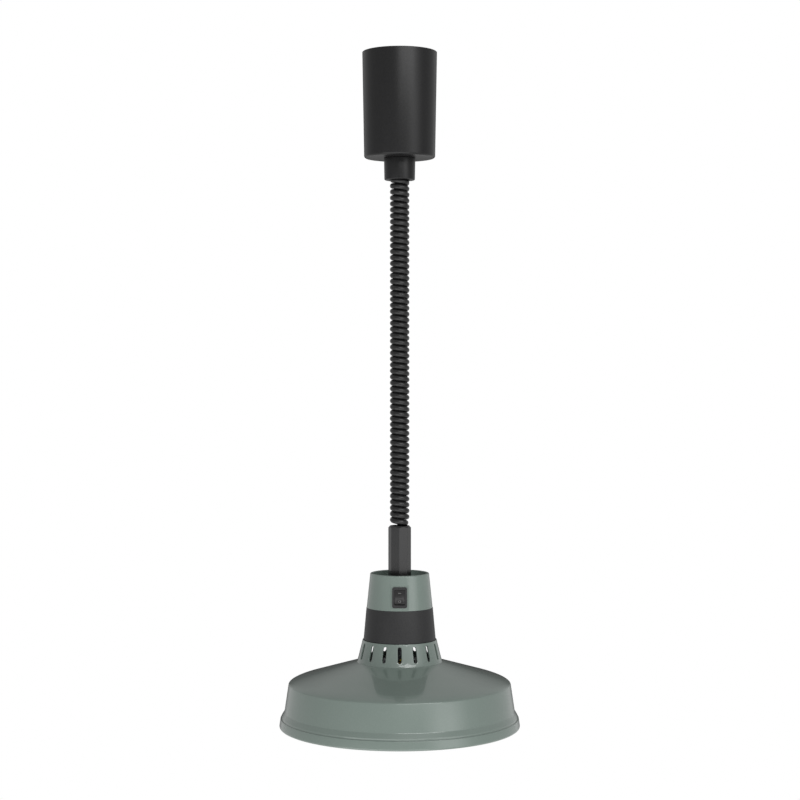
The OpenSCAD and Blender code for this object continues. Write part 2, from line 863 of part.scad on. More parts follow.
module grip_band() {
    tongue_r = vent_top_d / 2 - vent_wall - 0.15;
    color("#232324") {
        rotate_extrude() polygon([
            [grip_top_d / 2 - 0.5, z_neck_end],
            [grip_top_d / 2, z_neck_end - 0.5],
            [grip_end_d / 2, z_grip_end + 0.5],
            [grip_end_d / 2 - 0.5, z_grip_end],
            [tongue_r, z_grip_end],
            [tongue_r, z_grip_end - tongue],
            [tongue_r - tongue, z_grip_end - tongue],
            [grip_end_d / 2 - grip_wall, z_grip_end + 3],
            [grip_top_d / 2 - grip_wall, z_neck_end - tongue_h - 1],
            [grip_top_d / 2 - grip_wall, z_neck_end]
        ]);
    }
}

module vent_collar() {
    slot_top = z_grip_end - 2.9;
    slot_end = z_shade_top + 4.4;
    slope_a = atan((vent_base_d - vent_top_d) / 2 / vent_h);
    slot_len = (slot_top - slot_end) / cos(slope_a) - vent_slot_w;
    slot_z = (slot_top + slot_end) / 2;
    color("#84908a") difference() {
        rotate_extrude() polygon(rounded([
            [vent_top_d / 2 - vent_wall, z_grip_end, 0],
            [vent_top_d / 2, z_grip_end, 0.6],
            [base_r - 1.2, z_shade_top + 2.6, 4],
            [base_r, z_shade_top, 0],
            [base_r - 5, z_shade_top, 0],
            [base_r - 5, z_shade_top + 2, 0],
            [base_r - vent_wall - 1.4, z_shade_top + 3, 0]
        ]));
        for (i = [0:vent_slots - 1]) rotate([0, 0, i * 360 / vent_slots])
            translate([0, -vent_r(slot_z), slot_z]) rotate([90 - slope_a, 0, 0])
                translate([0, 0, -6]) linear_extrude(12) {
                    square([vent_slot_w, slot_len], center = true);
                    for (s = [-1, 1]) translate([0, s * slot_len / 2]) circle(d = vent_slot_w);
                }
    }
}

function shade_line() = concat(
    rounded([[shade_hole_r, z_shade_top, 0], [base_r, z_shade_top, 4],
        [corner_r - shoulder_in, z_corner + shoulder_in * cone_slope, 0]]),
    curve([corner_r - shoulder_in, z_corner + shoulder_in * cone_slope],
        [corner_r, z_corner],
        [corner_r + shoulder_down * wall_flare / wall_h, z_corner - shoulder_down]),
    rounded([
        [corner_r + shoulder_down * wall_flare / wall_h, z_corner - shoulder_down, 0],
        [wall_end_r, z_wall_end, 3],
        [skirt_r, z_skirt, 2.5],
        [rim_r, z_mouth + lip_round, 0]
    ]),
    [for (i = [1:6]) [rim_r - lip_round + lip_round * cos(15 * i),
        z_mouth + lip_round - lip_round * sin(15 * i)]],
    [[rim_r - lip_w, z_mouth]]
);

// The same line without points that repeat
function tidy(line) = [
    for (i = [0:len(line) - 1]) if (i == 0 || norm(line[i] - line[i - 1]) > 0.01) line[i]
];

module shade() {
    color("#84908a") spun_sheet(tidy(shade_line()), shade_t);
}

module chassis_plate() {
    color("silver") translate([0, 0, z_chassis_under]) difference() {
        cylinder(r = base_r - 3, h = chassis_t);
        translate([0, 0, -through]) cylinder(r = 9.5, h = chassis_t + 2 * through);
        for (a = tie_angles) rotate([0, 0, a]) translate([tie_r, 0, -through])
            cylinder(d = tie_d + 2 * clear, h = chassis_t + 2 * through);
        for (s = [-1, 1]) translate([s * spacer_x, 0, -through])
            cylinder(d = 4 + 2 * clear, h = chassis_t + 2 * through);
        translate([0, -20, -through]) cylinder(d = 4 + 2 * clear, h = chassis_t + 2 * through);
        for (a = [0, 30, 60, 120, 150, 180, 240, 300]) rotate([0, 0, a])
            translate([32, 0, -through]) cylinder(d = 5, h = chassis_t + 2 * through);
    }
}

module tie_screws() {
    color("silver") for (a = tie_angles) rotate([0, 0, a]) translate([tie_r, 0, z_web + boss_rise])
        screw(tie_d, z_web + boss_rise - z_chassis_under + strap_gap - near, tie_head_d, tie_head_h);
}

module tie_nuts() {
    color("silver") for (a = tie_angles) rotate([0, 0, a])
        translate([tie_r, 0, z_chassis_under - nut4_h]) difference() {
            hexagon(nut4_af, nut4_h);
            translate([0, 0, -through]) cylinder(d = tie_d + clear, h = nut4_h + 2 * through);
        }
}

module head_earth_lug() {
    color("goldenrod") translate([0, -20, z_shade_under]) rotate([0, 0, 180]) lug();
}

module head_earth_screw() {
    color("goldenrod") translate([0, -20, z_shade_under + 0.8]) screw(4, 4.5, 7, 2.4);
}

// ---- Wires in the head ----

wire_lift = 1.95;
z_above_strap = z_strap_top + wire_lift;
tab_x = holder_in + holder_t + 0.8;

function switch_point(y, z) = [
    0,
    -switch_r - z * cos(flank_a) + y * sin(flank_a),
    switch_z + z * sin(flank_a) + y * cos(flank_a)
];

spade_tip = -bezel_sink - housing_depth - spade_len - near;

module head_wire_live() {
    start = [-lay_r / 2, -lay_r * 0.87, z_jacket_end - near];
    tip = switch_point(spade_offset, spade_tip);
    color("saddlebrown") wire([start, start - [0, 0, 4], start + [-6, -4, -7],
        start + [-11, -8, -1], tip + [-7, 2.5, -2.5], tip + [0, 3, 0], tip]);
}

// Last stretch of a wire, from the middle of the chassis plate out to a lamp holder
function holder_run(side) = [
    [side * 4.5, 2.5, z_shade_under],
    [side * 7.5, 6.5, z_above_strap],
    [side * 14, 11, z_above_strap],
    [side * 30, 17.5, z_strap_top + 0.5],
    [side * (leg_in - 8), 22, z_strap_under - 2],
    [side * (leg_in + 8), 19, z_strap_under - 3],
    [side * (tab_x + 4), 13, z_lamp + 8],
    [side * (tab_x + 2), holder_screw_y, z_lamp + 5],
    [side * (tab_x + wire_d / 2), holder_screw_y, z_lamp]
];

module head_wire_switched() {
    tip = switch_point(-spade_offset, spade_tip);
    color("dimgray") wire(concat([
        tip, tip + [0, 3, 0], tip + [-3, 6, -9], [-4, -4, z_neck_end - 14],
        [-3, -2, z_grip_end], [-4, 1, z_shade_top + 4]
    ], holder_run(-1)));
}

module head_wire_neutral() {
    start = [lay_r, 0, z_jacket_end - near];
    color("steelblue") wire(concat([
        start, start - [0, 0, 4], [3.5, -1, z_neck_end - 10], [4, 2, z_grip_end],
        [4, 1, z_shade_top + 4]
    ], holder_run(1)));
}

module head_wire_earth() {
    start = [-lay_r / 2, lay_r * 0.87, z_jacket_end - near];
    tip = [0, -11, z_shade_under + 0.8 + wire_d / 2];
    color("yellowgreen") wire([
        start, start - [0, 0, 4], [3, 8, z_jacket_end - 18], [11, 4, z_grip_end],
        [9, -6, z_shade_top + 8], [2, -9, z_shade_top + 3], tip
    ]);
}

// ---- Lamp unit ----

module lamp_bracket() {
    foot_r = frame_w / 2 - ridge_w - ledge_w - 1.5;
    color("silver") difference() {
        union() {
            translate([-leg_in - strap_t, -strap_half_w, z_strap_under])
                cube([2 * (leg_in + strap_t), 2 * strap_half_w, strap_t]);
            for (s = [-1, 1]) {
                translate([s > 0 ? leg_in : -leg_in - strap_t, 0, 0]) {
                    translate([0, -strap_half_w, z_strap_under - leg_neck_h - through])
                        cube([strap_t, 2 * strap_half_w, leg_neck_h + 2 * through]);
                    translate([0, -leg_half_w, z_plate_top])
                        cube([strap_t, 2 * leg_half_w, bracket_depth - leg_neck_h]);
                }
                intersection() {
                    translate([s > 0 ? leg_in : -leg_in - foot_reach, -leg_half_w, z_plate_top])
                        cube([foot_reach, 2 * leg_half_w, strap_t]);
                    translate([0, 0, z_plate_top]) linear_extrude(strap_t)
                        stadium(frame_l - frame_w + 2 * foot_r, 2 * foot_r);
                }
            }
        }
        for (s = [-1, 1]) {
            translate([s * spacer_x, 0, z_strap_under - through])
                cylinder(d = 4 + 2 * clear, h = strap_t + 2 * through);
            translate([s > 0 ? leg_in - through : -leg_in - strap_t - through, 0, z_lamp]) {
                rod_x(pin_hole_d, strap_t + 2 * through);
                for (y = [-1, 1]) translate([0, y * holder_screw_y, 0])
                    rod_x(holder_screw_d + clear, strap_t + 2 * through);
            }
            for (y = [-1, 1]) translate([s * plate_screw_x, y * plate_screw_y, z_plate_top - through])
                cylinder(d = plate_screw_d + clear, h = strap_t + 2 * through);
        }
    }
}

module bracket_spacers() {
    color("silver") for (s = [-1, 1]) translate([s * spacer_x, 0, z_strap_top])
        ring(spacer_d / 2, 2 + clear, strap_gap);
}

module bracket_screws() {
    color("silver") for (s = [-1, 1]) translate([s * spacer_x, 0, z_shade_under])
        screw(4, z_shade_under - z_strap_under, 7, 2.4);
}

function reflector_z(r) = z_plate_under + reflector_rise - reflector_slope * (r - frame_l / 2);

module reflector() {
    line = rounded([
        [reflector_inner_r, reflector_z(reflector_inner_r), 0],
        [reflector_corner_r, reflector_z(reflector_corner_r), 4],
        [reflector_edge_r, z_lip_top, 0.6],
        [reflector_edge_r + reflector_flange, z_lip_top, 0]
    ]);
    color("gainsboro") difference() {
        spun_sheet(line, -reflector_t);
        translate([0, 0, z_plate_under - 40]) linear_extrude(80)
            stadium(frame_l + 2 * clear, frame_w + 2 * clear);
    }
}

module lamp_frame() {
    z_top = z_plate_under + frame_top;
    z_floor = z_plate_under;
    color("gainsboro") difference() {
        union() {
            frame_ring(-frame_lip, frame_t, z_top - 1, z_top);
            frame_ring(0, frame_t, z_floor - 1.5, z_top);
            frame_ring(0.3, frame_t - 0.3, z_floor - 2, z_floor);
            frame_ring(frame_t / 2, ridge_w, z_floor - 0.5, z_floor + 0.5);
            frame_ring(ridge_w - 0.2, ridge_w + 1.3, z_floor - 1.8, z_plate_top + 1);
            frame_ring(ridge_w + 0.1, ridge_w + 1, z_floor - 2.2, z_floor);
            frame_ring(ridge_w, ridge_w + 1.3 + ledge_w, z_plate_top, z_plate_top + 1);
        }
        for (i = [0:guard_wires_n - 1], s = [-1, 1])
            translate([guard_x(i), s * guard_y, z_floor - 4])
                cylinder(d = guard_wire_d + 2 * clear, h = 6);
    }
}

module lamp_plate() {
    inset = ridge_w + 1.3 + near;
    color("#5a5a5e") translate([0, 0, z_plate_under]) linear_extrude(plate_t) difference() {
        stadium(frame_l - 2 * inset, frame_w - 2 * inset);
        rounded_box(window_l, window_w, window_corner);
        for (x = [-1, 1], y = [-1, 1]) translate([x * plate_screw_x, y * plate_screw_y])
            circle(d = plate_screw_d + 2 * clear);
    }
}

module plate_screws() {
    color("silver") for (x = [-1, 1], y = [-1, 1])
        translate([x * plate_screw_x, y * plate_screw_y, z_plate_under]) mirror([0, 0, 1])
            difference() {
                screw(plate_screw_d, 6, plate_head_d, plate_head_h);
                for (a = [0, 90]) rotate([0, 0, a])
                    translate([-2.5, -0.5, plate_head_h - 1.2]) cube([5, 1, 3]);
            }
}

// Half-width of the trough's inside at a height
function trough_y(z) = trough_half_w
    - (z - z_plate_top) * (trough_half_w - trough_top_half_w)
    / (z_strap_under - near - trough_t - z_plate_top);

module trough_prism(half_l, grow, z_high) {
    rotate([90, 0, 90]) translate([0, 0, -half_l]) linear_extrude(2 * half_l) polygon([
        [-trough_half_w - grow, z_plate_top - (grow == 0 ? through : 0)],
        [trough_half_w + grow, z_plate_top - (grow == 0 ? through : 0)],
        [trough_y(z_high) + grow, z_high],
        [-trough_y(z_high) - grow, z_high]
    ]);
}

module lamp_trough() {
    z_top = z_strap_under - near;
    color("lightgray") difference() {
        union() {
            trough_prism(trough_half_l + trough_t, trough_t, z_top);
            translate([-trough_half_l - trough_flange, -trough_half_w - trough_flange, z_plate_top])
                cube([2 * (trough_half_l + trough_flange), 2 * (trough_half_w + trough_flange),
                    trough_t]);
        }
        trough_prism(trough_half_l, 0, z_top - trough_t);
        translate([-trough_half_l - 3, 0, z_lamp]) rod_x(pin_hole_d, 2 * trough_half_l + 6);
    }
}

module lamp_holders() {
    color("#e6e2d8") for (s = [-1, 1]) difference() {
        translate([s > 0 ? holder_in : -holder_in - holder_t, -holder_w / 2,
            z_lamp - holder_h / 2])
            cube([holder_t, holder_w, holder_h]);
        translate([s > 0 ? holder_in - through : -holder_in - holder_t - through, 0, z_lamp]) {
            rod_x(rod_d + 2 * rod_play, holder_t + 2 * through);
            for (y = [-1, 1]) translate([0, y * holder_screw_y, 0])
                rod_x(holder_screw_d + clear, s > 0 ? 9 : holder_t + 2 * through);
        }
    }
}

module holder_screws() {
    color("silver") for (s = [-1, 1], y = [-1, 1])
        translate([s * leg_in, y * holder_screw_y, z_lamp]) rotate([0, -90 * s, 0])
            screw(holder_screw_d, strap_t + 7, 5, 1.6);
}

module holder_tabs() {
    color("goldenrod") for (s = [-1, 1])
        translate([s > 0 ? holder_in + holder_t : -tab_x, holder_screw_y - 2.5, z_lamp - 4])
            cube([0.8, 5, 8]);
}

module fixed_contact() {
    color("goldenrod") difference() {
        union() {
            translate([holder_in - socket_l, 0, z_lamp]) rod_x(nib_d, socket_l);
            translate([holder_in - through, 0, z_lamp]) rod_x(rod_d, holder_t + through);
        }
        translate([holder_in - socket_l - through, 0, z_lamp])
            rod_x(pin_d + 2 * clear, socket_l - 1 + through);
    }
}

cup_face = cap_out + nib_l + near;
cup_back = cup_face + cup_l;

module contact_plunger() {
    head_x = holder_in + holder_t + near;
    color("goldenrod") difference() {
        union() {
            translate([-cup_back, 0, z_lamp]) rod_x(cup_d, cup_l);
            translate([-head_x - 1.2, 0, z_lamp]) rod_x(rod_d, head_x + 1.2 - cup_back + through);
            translate([-head_x - 1.2, 0, z_lamp]) rod_x(5, 1.2);
        }
        translate([-cup_face - 3, 0, z_lamp]) rod_x(pin_d + 2 * clear, 3 + through);
    }
}

// Helical spring round the plunger's rod, from the holder to the cup
module contact_spring() {
    turns = 7;
    length = holder_in - cup_back - spring_wire_d - 0.1;
    ring_n = 12;
    r = (spring_d - spring_wire_d) / 2;
    route = [
        for (i = [0:turns * ring_n])
            [-holder_in + 0.05 + spring_wire_d / 2 + length * i / turns / ring_n,
             r * cos(360 * i / ring_n), z_lamp + r * sin(360 * i / ring_n)]
    ];
    color("silver") coil_wire(route, spring_wire_d);
}

// Wire swept straight through a route's points, without smoothing
module coil_wire(line, d, sides = 6) {
    last = len(line) - 1;
    tangents = [for (i = [0:last]) unit(line[min(i + 1, last)] - line[max(i - 1, 0)])];
    across = [for (t = tangents) unit(cross(t, [1, 0, 0]))];
    points = [
        for (i = [0:last], k = [0:sides - 1])
            let (a = 360 * k / sides, up = cross(tangents[i], across[i]))
            line[i] + d / 2 * (cos(a) * across[i] + sin(a) * up)
    ];
    faces = [
        [for (k = [0:sides - 1]) k],
        [for (k = [sides - 1:-1:0]) last * sides + k],
        for (i = [0:last - 1], k = [0:sides - 1])
            let (a = i * sides + k, b = i * sides + (k + 1) % sides)
            each [[a, b + sides, b], [a, a + sides, b + sides]]
    ];
    polyhedron(points, [for (f = faces) reversed(f)]);
}

module quartz_tube() {
    tube_end = cap_out - cap_t / 2;
    color("aliceblue", 0.5) translate([-tube_end, 0, z_lamp]) difference() {
        rod_x(tube_d, 2 * tube_end);
        translate([2, 0, 0]) rod_x(tube_d - 2.4, 2 * tube_end - 4);
        for (x = [-through, 2 * tube_end - 3]) translate([x, 0, 0]) rod_x(1.4, 3 + through);
    }
}

module lamp_caps() {
    tube_end = cap_out - cap_t / 2;
    color("#efece4") for (s = [-1, 1]) difference() {
        union() {
            translate([s > 0 ? cap_out - cap_t : -cap_out, -cap_w / 2, z_lamp - cap_h / 2])
                cube([cap_t, cap_w, cap_h]);
            translate([s > 0 ? cap_out - cap_t : -cap_out, 0, z_lamp])
                rod_x(tube_d + 2.4, cap_t);
            translate([s > 0 ? cap_out - through : -cap_out - nib_l, 0, z_lamp])
                rod_x(nib_d, nib_l + through);
        }
        translate([s > 0 ? cap_out - cap_t - through : -tube_end - 0.1, 0, z_lamp])
            rod_x(tube_d + clear, cap_t / 2 + through + 0.1);
        translate([s > 0 ? 0 : -cap_out - nib_l - through, 0, z_lamp])
            rod_x(pin_d + clear, cap_out + nib_l + through);
    }
}

// Filament, lead-ins and end pins, which are one conductor through the lamp
module lamp_conductor() {
    tube_end = cap_out - cap_t / 2;
    color("lightslategray") {
        translate([-tube_end - 0.3, 0, z_lamp]) rod_x(1.2, 2 * tube_end + 0.6);
        translate([-tube_end + 5, 0, z_lamp]) rod_x(2, 2 * tube_end - 10);
        translate([-cap_out - nib_l - stub_l, 0, z_lamp])
            rod_x(pin_d, cap_out - tube_end + nib_l + stub_l - 0.2);
        translate([tube_end + 0.2, 0, z_lamp])
            rod_x(pin_d, holder_in - 2.5 - tube_end - 0.2);
    }
}

function guard_x(i) = (i - (guard_wires_n - 1) / 2) * window_l * 0.92 / (guard_wires_n - 1);

module guard_wires() {
    z_low = z_plate_under - guard_drop;
    z_bend = z_low + guard_bend;
    z_head = z_plate_under + 0.5;
    color("gainsboro") for (i = [0:guard_wires_n - 1]) translate([guard_x(i), 0, 0]) {
        rotate([90, 0, 0]) translate([0, z_low, -guard_y + guard_bend])
            cylinder(d = guard_wire_d, h = 2 * (guard_y - guard_bend));
        for (s = [-1, 1]) {
            translate([0, s * (guard_y - guard_bend), z_bend]) rotate([90, 0, s * 90])
                rotate([0, 0, -90]) rotate_extrude(angle = 90)
                    translate([guard_bend, 0]) circle(d = guard_wire_d);
            translate([0, s * guard_y, z_bend]) cylinder(d = guard_wire_d, h = z_head - z_bend);
            translate([0, s * guard_y, z_head]) cylinder(d = guard_wire_d + 1.5, h = guard_head);
        }
    }
}

mounting_bracket();
canopy();
collar();
collar_bush();
collar_washer();
collar_nut();
top_cord_clamp();
top_clamp_screws();
terminal_block();
terminal_barrels();
terminal_screws();
block_screw();
earth_lug();
earth_screw();
cord_tail_top();
canopy_wire_live();
canopy_wire_neutral();
canopy_wire_earth();
coil_cord();
sleeve();
sleeve_bush();
sleeve_washer();
sleeve_nut();
head_cord_clamp();
head_clamp_screws();
cord_tail_bottom();
neck_housing();
switch_body();
switch_terminals();
rocker();
grip_band();
vent_collar();
shade();
chassis_plate();
tie_screws();
tie_nuts();
head_earth_lug();
head_earth_screw();
head_wire_live();
head_wire_switched();
head_wire_neutral();
head_wire_earth();
lamp_bracket();
bracket_spacers();
bracket_screws();
reflector();
lamp_frame();
lamp_plate();
plate_screws();
lamp_trough();
lamp_holders();
holder_screws();
holder_tabs();
fixed_contact();
contact_plunger();
contact_spring();
quartz_tube();
lamp_caps();
lamp_conductor();
guard_wires();
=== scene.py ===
"""Pull-down heat lamp warmer: the finished surfaces of the canopy, the curly cord and the lamp head.

Lengths are in metres. The ceiling is the plane z = 0, the lamp hangs below it, and the switch faces -Y.
"""

import json
import math

import bmesh
import bpy
from mathutils import Matrix, Vector
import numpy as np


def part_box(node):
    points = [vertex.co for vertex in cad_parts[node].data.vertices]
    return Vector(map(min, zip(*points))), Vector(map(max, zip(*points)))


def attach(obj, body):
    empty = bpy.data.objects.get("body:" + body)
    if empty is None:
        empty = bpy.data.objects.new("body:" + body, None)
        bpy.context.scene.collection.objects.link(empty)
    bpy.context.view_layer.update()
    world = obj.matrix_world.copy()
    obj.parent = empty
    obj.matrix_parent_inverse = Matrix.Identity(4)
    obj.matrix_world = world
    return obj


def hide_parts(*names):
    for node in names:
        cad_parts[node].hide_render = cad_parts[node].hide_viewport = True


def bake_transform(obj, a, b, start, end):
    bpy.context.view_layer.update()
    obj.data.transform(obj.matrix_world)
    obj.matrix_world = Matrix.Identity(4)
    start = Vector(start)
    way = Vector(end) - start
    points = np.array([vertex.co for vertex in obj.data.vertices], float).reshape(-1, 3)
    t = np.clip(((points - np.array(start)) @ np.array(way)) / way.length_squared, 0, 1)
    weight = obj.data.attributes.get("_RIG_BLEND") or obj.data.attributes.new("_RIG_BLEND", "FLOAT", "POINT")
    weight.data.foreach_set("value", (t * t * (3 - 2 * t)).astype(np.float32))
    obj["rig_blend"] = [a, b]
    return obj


bl_info = {
    "name": "Pull-down Heat Lamp",
    "version": (1, 0, 0),
    "blender": (4, 5, 0),
    "location": "View3D > Sidebar > Heat Lamp",
    "description": "Builds the visible pieces and the finishes of a pull-down heat lamp",
    "category": "Object",
}

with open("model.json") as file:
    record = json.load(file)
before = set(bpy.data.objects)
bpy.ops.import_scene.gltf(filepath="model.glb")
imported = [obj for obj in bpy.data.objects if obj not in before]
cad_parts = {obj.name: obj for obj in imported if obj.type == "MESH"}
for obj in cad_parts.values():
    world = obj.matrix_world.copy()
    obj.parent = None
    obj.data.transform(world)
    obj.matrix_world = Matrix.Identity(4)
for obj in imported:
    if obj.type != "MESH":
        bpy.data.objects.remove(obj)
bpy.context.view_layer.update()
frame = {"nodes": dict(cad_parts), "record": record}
BODY_OF = {
    node: body
    for body, nodes in frame["record"]["behaviour"]["bodies"].items()
    for node in nodes
}
SLOT_OF = {part["node"]: part["material_slot"] for part in frame["record"]["subparts"]}

MM = 0.001
SEGMENTS = 128
ARC_STEPS = 6
MERGE = 1e-6
SHARP = math.radians(38)


def low(node):
    """Lowest corner of a node's box."""
    return Vector(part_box(node)[0])


def high(node):
    """Highest corner of a node's box."""
    return Vector(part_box(node)[1])


def linear(code):
    """Linear colour from a hexadecimal one."""
    values = [int(code[i : i + 2], 16) / 255 for i in (0, 2, 4)]
    return tuple(v / 12.92 if v <= 0.04045 else ((v + 0.055) / 1.055) ** 2.4 for v in values)


# ---- Sizes and colours that a user would change ----


def length_property(name, description, default):
    return bpy.props.FloatProperty(
        name=name, description=description, default=default, min=0, precision=5, unit="LENGTH")


def colour_property(name, description, code):
    return bpy.props.FloatVectorProperty(
        name=name, description=description, default=linear(code), min=0, max=1, size=3,
        subtype="COLOR")


class HeatLampSizes(bpy.types.PropertyGroup):
    """Sizes of the visible pieces; the rest follows from the frame."""

    canopy_wall: length_property("Canopy wall", "Thickness of the canopy's wall", 2 * MM)
    canopy_taper: length_property("Canopy taper", "How much narrower its closed end is", 2.1 * MM)
    canopy_edge: length_property("Canopy edge", "Radius round the canopy's closed end", 2.6 * MM)
    cord_diameter: length_property("Cord diameter", "Diameter of the curly cord's sheath", 6.4 * MM)
    coil_pitch: length_property("Coil pitch", "Distance between two turns at rest", 6.8 * MM)
    sheet: length_property("Shade sheet", "Thickness of the shade's sheet", 1.2 * MM)
    cone_slope: bpy.props.FloatProperty(
        name="Cone slope", description="Fall of the shade's cone over its run", default=0.295)
    vent_slots: bpy.props.IntProperty(
        name="Vent slots", description="Number of slots round the vent collar", default=16, min=4)
    vent_slot_width: length_property("Vent slot width", "Width of each vent slot", 4.4 * MM)
    guard_wires: bpy.props.IntProperty(
        name="Guard wires", description="Number of wires under the lamp", default=5, min=2)
    guard_diameter: length_property("Guard wire", "Diameter of each guard wire", 2.5 * MM)
    edge_round: length_property("Edge rounding", "Radius of the small moulded edges", 0.4 * MM)


class HeatLampColours(bpy.types.PropertyGroup):
    """Colours of the finishes."""

    green: colour_property("Enamel", "Gloss enamel of the shade and the neck", "6f7d76")
    black: colour_property("Black coat", "Powder coat of the canopy", "121213")
    moulding: colour_property("Black moulding", "Grip band and switch", "2a2a2b")
    sheath: colour_property("Cord sheath", "Rubber of the curly cord", "0f0f10")
    chrome: colour_property("Chrome", "Mirror-bright reflector", "e4e3e1")
    ceramic: colour_property("Ceramic", "Lamp caps and holders", "ece7db")


# ---- Shape helpers ----


def rounded(points, steps=ARC_STEPS):
    """Line through (x, y, radius) points, with an arc of its radius at each corner."""
    line = []
    for i, (x, y, radius) in enumerate(points):
        corner = Vector((x, y))
        if radius == 0:
            line.append(corner)
            continue
        before = (Vector(points[i - 1][:2]) - corner).normalized()
        after = (Vector(points[(i + 1) % len(points)][:2]) - corner).normalized()
        half = before.angle(after) / 2
        spoke_from = corner + before * radius / math.tan(half)
        centre = corner + (before + after).normalized() * radius / math.sin(half)
        side = 1 if before.x * after.y - before.y * after.x > 0 else -1
        sweep = -side * (math.pi - 2 * half)
        for k in range(steps + 1):
            turn = Matrix.Rotation(sweep * k / steps, 2)
            line.append(centre + turn @ (spoke_from - centre))
    return line


def curved(a, b, c, steps=14):
    """Quadratic curve from a to c that is pulled towards b."""
    a, b, c = Vector(a), Vector(b), Vector(c)
    return [(1 - t) ** 2 * a + 2 * t * (1 - t) * b + t * t * c
            for t in (i / steps for i in range(steps + 1))]


def without_repeats(line):
    """The line without points that lie on the one before."""
    return [p for i, p in enumerate(line) if i == 0 or (p - line[i - 1]).length > 10 * MERGE]


def beside(line, distance):
    """The same line, moved to its right-hand side."""
    moved = []
    for i, point in enumerate(line):
        into = (line[max(i, 1)] - line[max(i, 1) - 1]).normalized()
        out = (line[min(i, len(line) - 2) + 1] - line[min(i, len(line) - 2)]).normalized()
        n_in, n_out = Vector((into.y, -into.x)), Vector((out.y, -out.x))
        moved.append(point + (n_in + n_out) / (1 + n_in.dot(n_out)) * distance)
    return moved


def sheet_outline(line, thickness):
    """Closed outline of a sheet whose one face follows the line."""
    line = without_repeats(line)
    return line + beside(line, thickness)[::-1]


def spun(outline, segments=SEGMENTS):
    """Closed outline of (radius, height) points spun round Z."""
    bm = bmesh.new()
    verts = [bm.verts.new((p[0], 0, p[1])) for p in outline]
    for i, vert in enumerate(verts):
        bm.edges.new((vert, verts[(i + 1) % len(verts)]))
    bmesh.ops.spin(bm, geom=bm.verts[:] + bm.edges[:], cent=(0, 0, 0), axis=(0, 0, 1),
                   angle=2 * math.pi, steps=segments, use_merge=True)
    return closed_up(bm)


def closed_up(bm):
    """Merges doubles and turns the faces outwards."""
    bmesh.ops.remove_doubles(bm, verts=bm.verts[:], dist=MERGE)
    slivers = [face for face in bm.faces if face.calc_area() < MERGE * MERGE]
    if slivers:
        bmesh.ops.delete(bm, geom=slivers, context="FACES_ONLY")
    bmesh.ops.recalc_face_normals(bm, faces=bm.faces[:])
    return bm


def ring_of_points(bm, points):
    """Closed loop made as a circle and drawn out to pass through the points."""
    verts = bmesh.ops.create_circle(bm, segments=len(points), radius=1)["verts"]
    for vert, point in zip(verts, points):
        vert.co = point
    return verts


def loop_edges(bm, verts):
    """Edges round a closed loop of vertices."""
    return [bm.edges.get((vert, verts[(i + 1) % len(verts)])) for i, vert in enumerate(verts)]


def next_ring(bm, verts, points):
    """Extrudes a loop and puts the new one on the points."""
    made = bmesh.ops.extrude_edge_only(bm, edges=loop_edges(bm, verts))["geom"]
    new = {v for v in made if isinstance(v, bmesh.types.BMVert)}
    follows = []
    for vert in verts:
        partner = next(e.other_vert(vert) for e in vert.link_edges if e.other_vert(vert) in new)
        follows.append(partner)
    for vert, point in zip(follows, points):
        vert.co = point
    return follows


def cap(bm, verts):
    """Fills a loop with one face."""
    bmesh.ops.contextual_create(bm, geom=verts)


def tube(path, radius, sides, bm=None, along=None):
    """Round tube along a path, with closed ends; along names a vertex value from 0 to 1."""
    bm = bm or bmesh.new()
    layer = bm.verts.layers.float.new(along) if along else None
    normal = None
    verts = None
    for i, point in enumerate(path):
        tangent = (path[min(i + 1, len(path) - 1)] - path[max(i - 1, 0)]).normalized()
        if normal is None:
            normal = tangent.orthogonal().normalized()
        normal = (normal - normal.dot(tangent) * tangent).normalized()
        across = tangent.cross(normal)
        ring = [point + radius * (math.cos(a) * normal + math.sin(a) * across)
                for a in (2 * math.pi * k / sides for k in range(sides))]
        if verts is None:
            verts = ring_of_points(bm, ring)
            cap(bm, verts)
        else:
            verts = next_ring(bm, verts, ring)
        if layer:
            for vert in verts:
                vert[layer] = i / (len(path) - 1)
    cap(bm, verts)
    bmesh.ops.recalc_face_normals(bm, faces=bm.faces[:])
    return bm


def swept_round(track, outline):
    """Closed outline of (outward, height) points swept along a closed track of (centre, outward)."""
    bm = bmesh.new()

    def ring(point):
        return [centre + outward * point[0] + Vector((0, 0, point[1])) for centre, outward in track]

    first = verts = ring_of_points(bm, ring(outline[0]))
    for point in outline[1:]:
        verts = next_ring(bm, verts, ring(point))
    bmesh.ops.bridge_loops(bm, edges=loop_edges(bm, first) + loop_edges(bm, verts))
    return closed_up(bm)


def stadium_track(half_straight, arc_steps=40, straight_steps=10):
    """Centres and outward directions round a stadium whose long axis is X."""
    track = []
    for side in (1, -1):
        for k in range(arc_steps + 1):
            a = -math.pi / 2 + math.pi * k / arc_steps
            track.append((Vector((side * half_straight, 0, 0)),
                          Vector((side * math.cos(a), side * math.sin(a), 0))))
        for k in range(1, straight_steps):
            x = side * half_straight * (1 - 2 * k / straight_steps)
            track.append((Vector((x, 0, 0)), Vector((0, side, 0))))
    return track


def helix(axis_point, axis, radius, turns, length, per_turn):
    """Points of a helix that starts at a point on its axis."""
    axis = Vector(axis).normalized()
    first = axis.orthogonal().normalized()
    second = axis.cross(first)
    count = int(turns * per_turn)
    return [
        Vector(axis_point) + axis * length * i / count
        + radius * (math.cos(a) * first + math.sin(a) * second)
        for i, a in ((i, 2 * math.pi * i / per_turn) for i in range(count + 1))
    ]


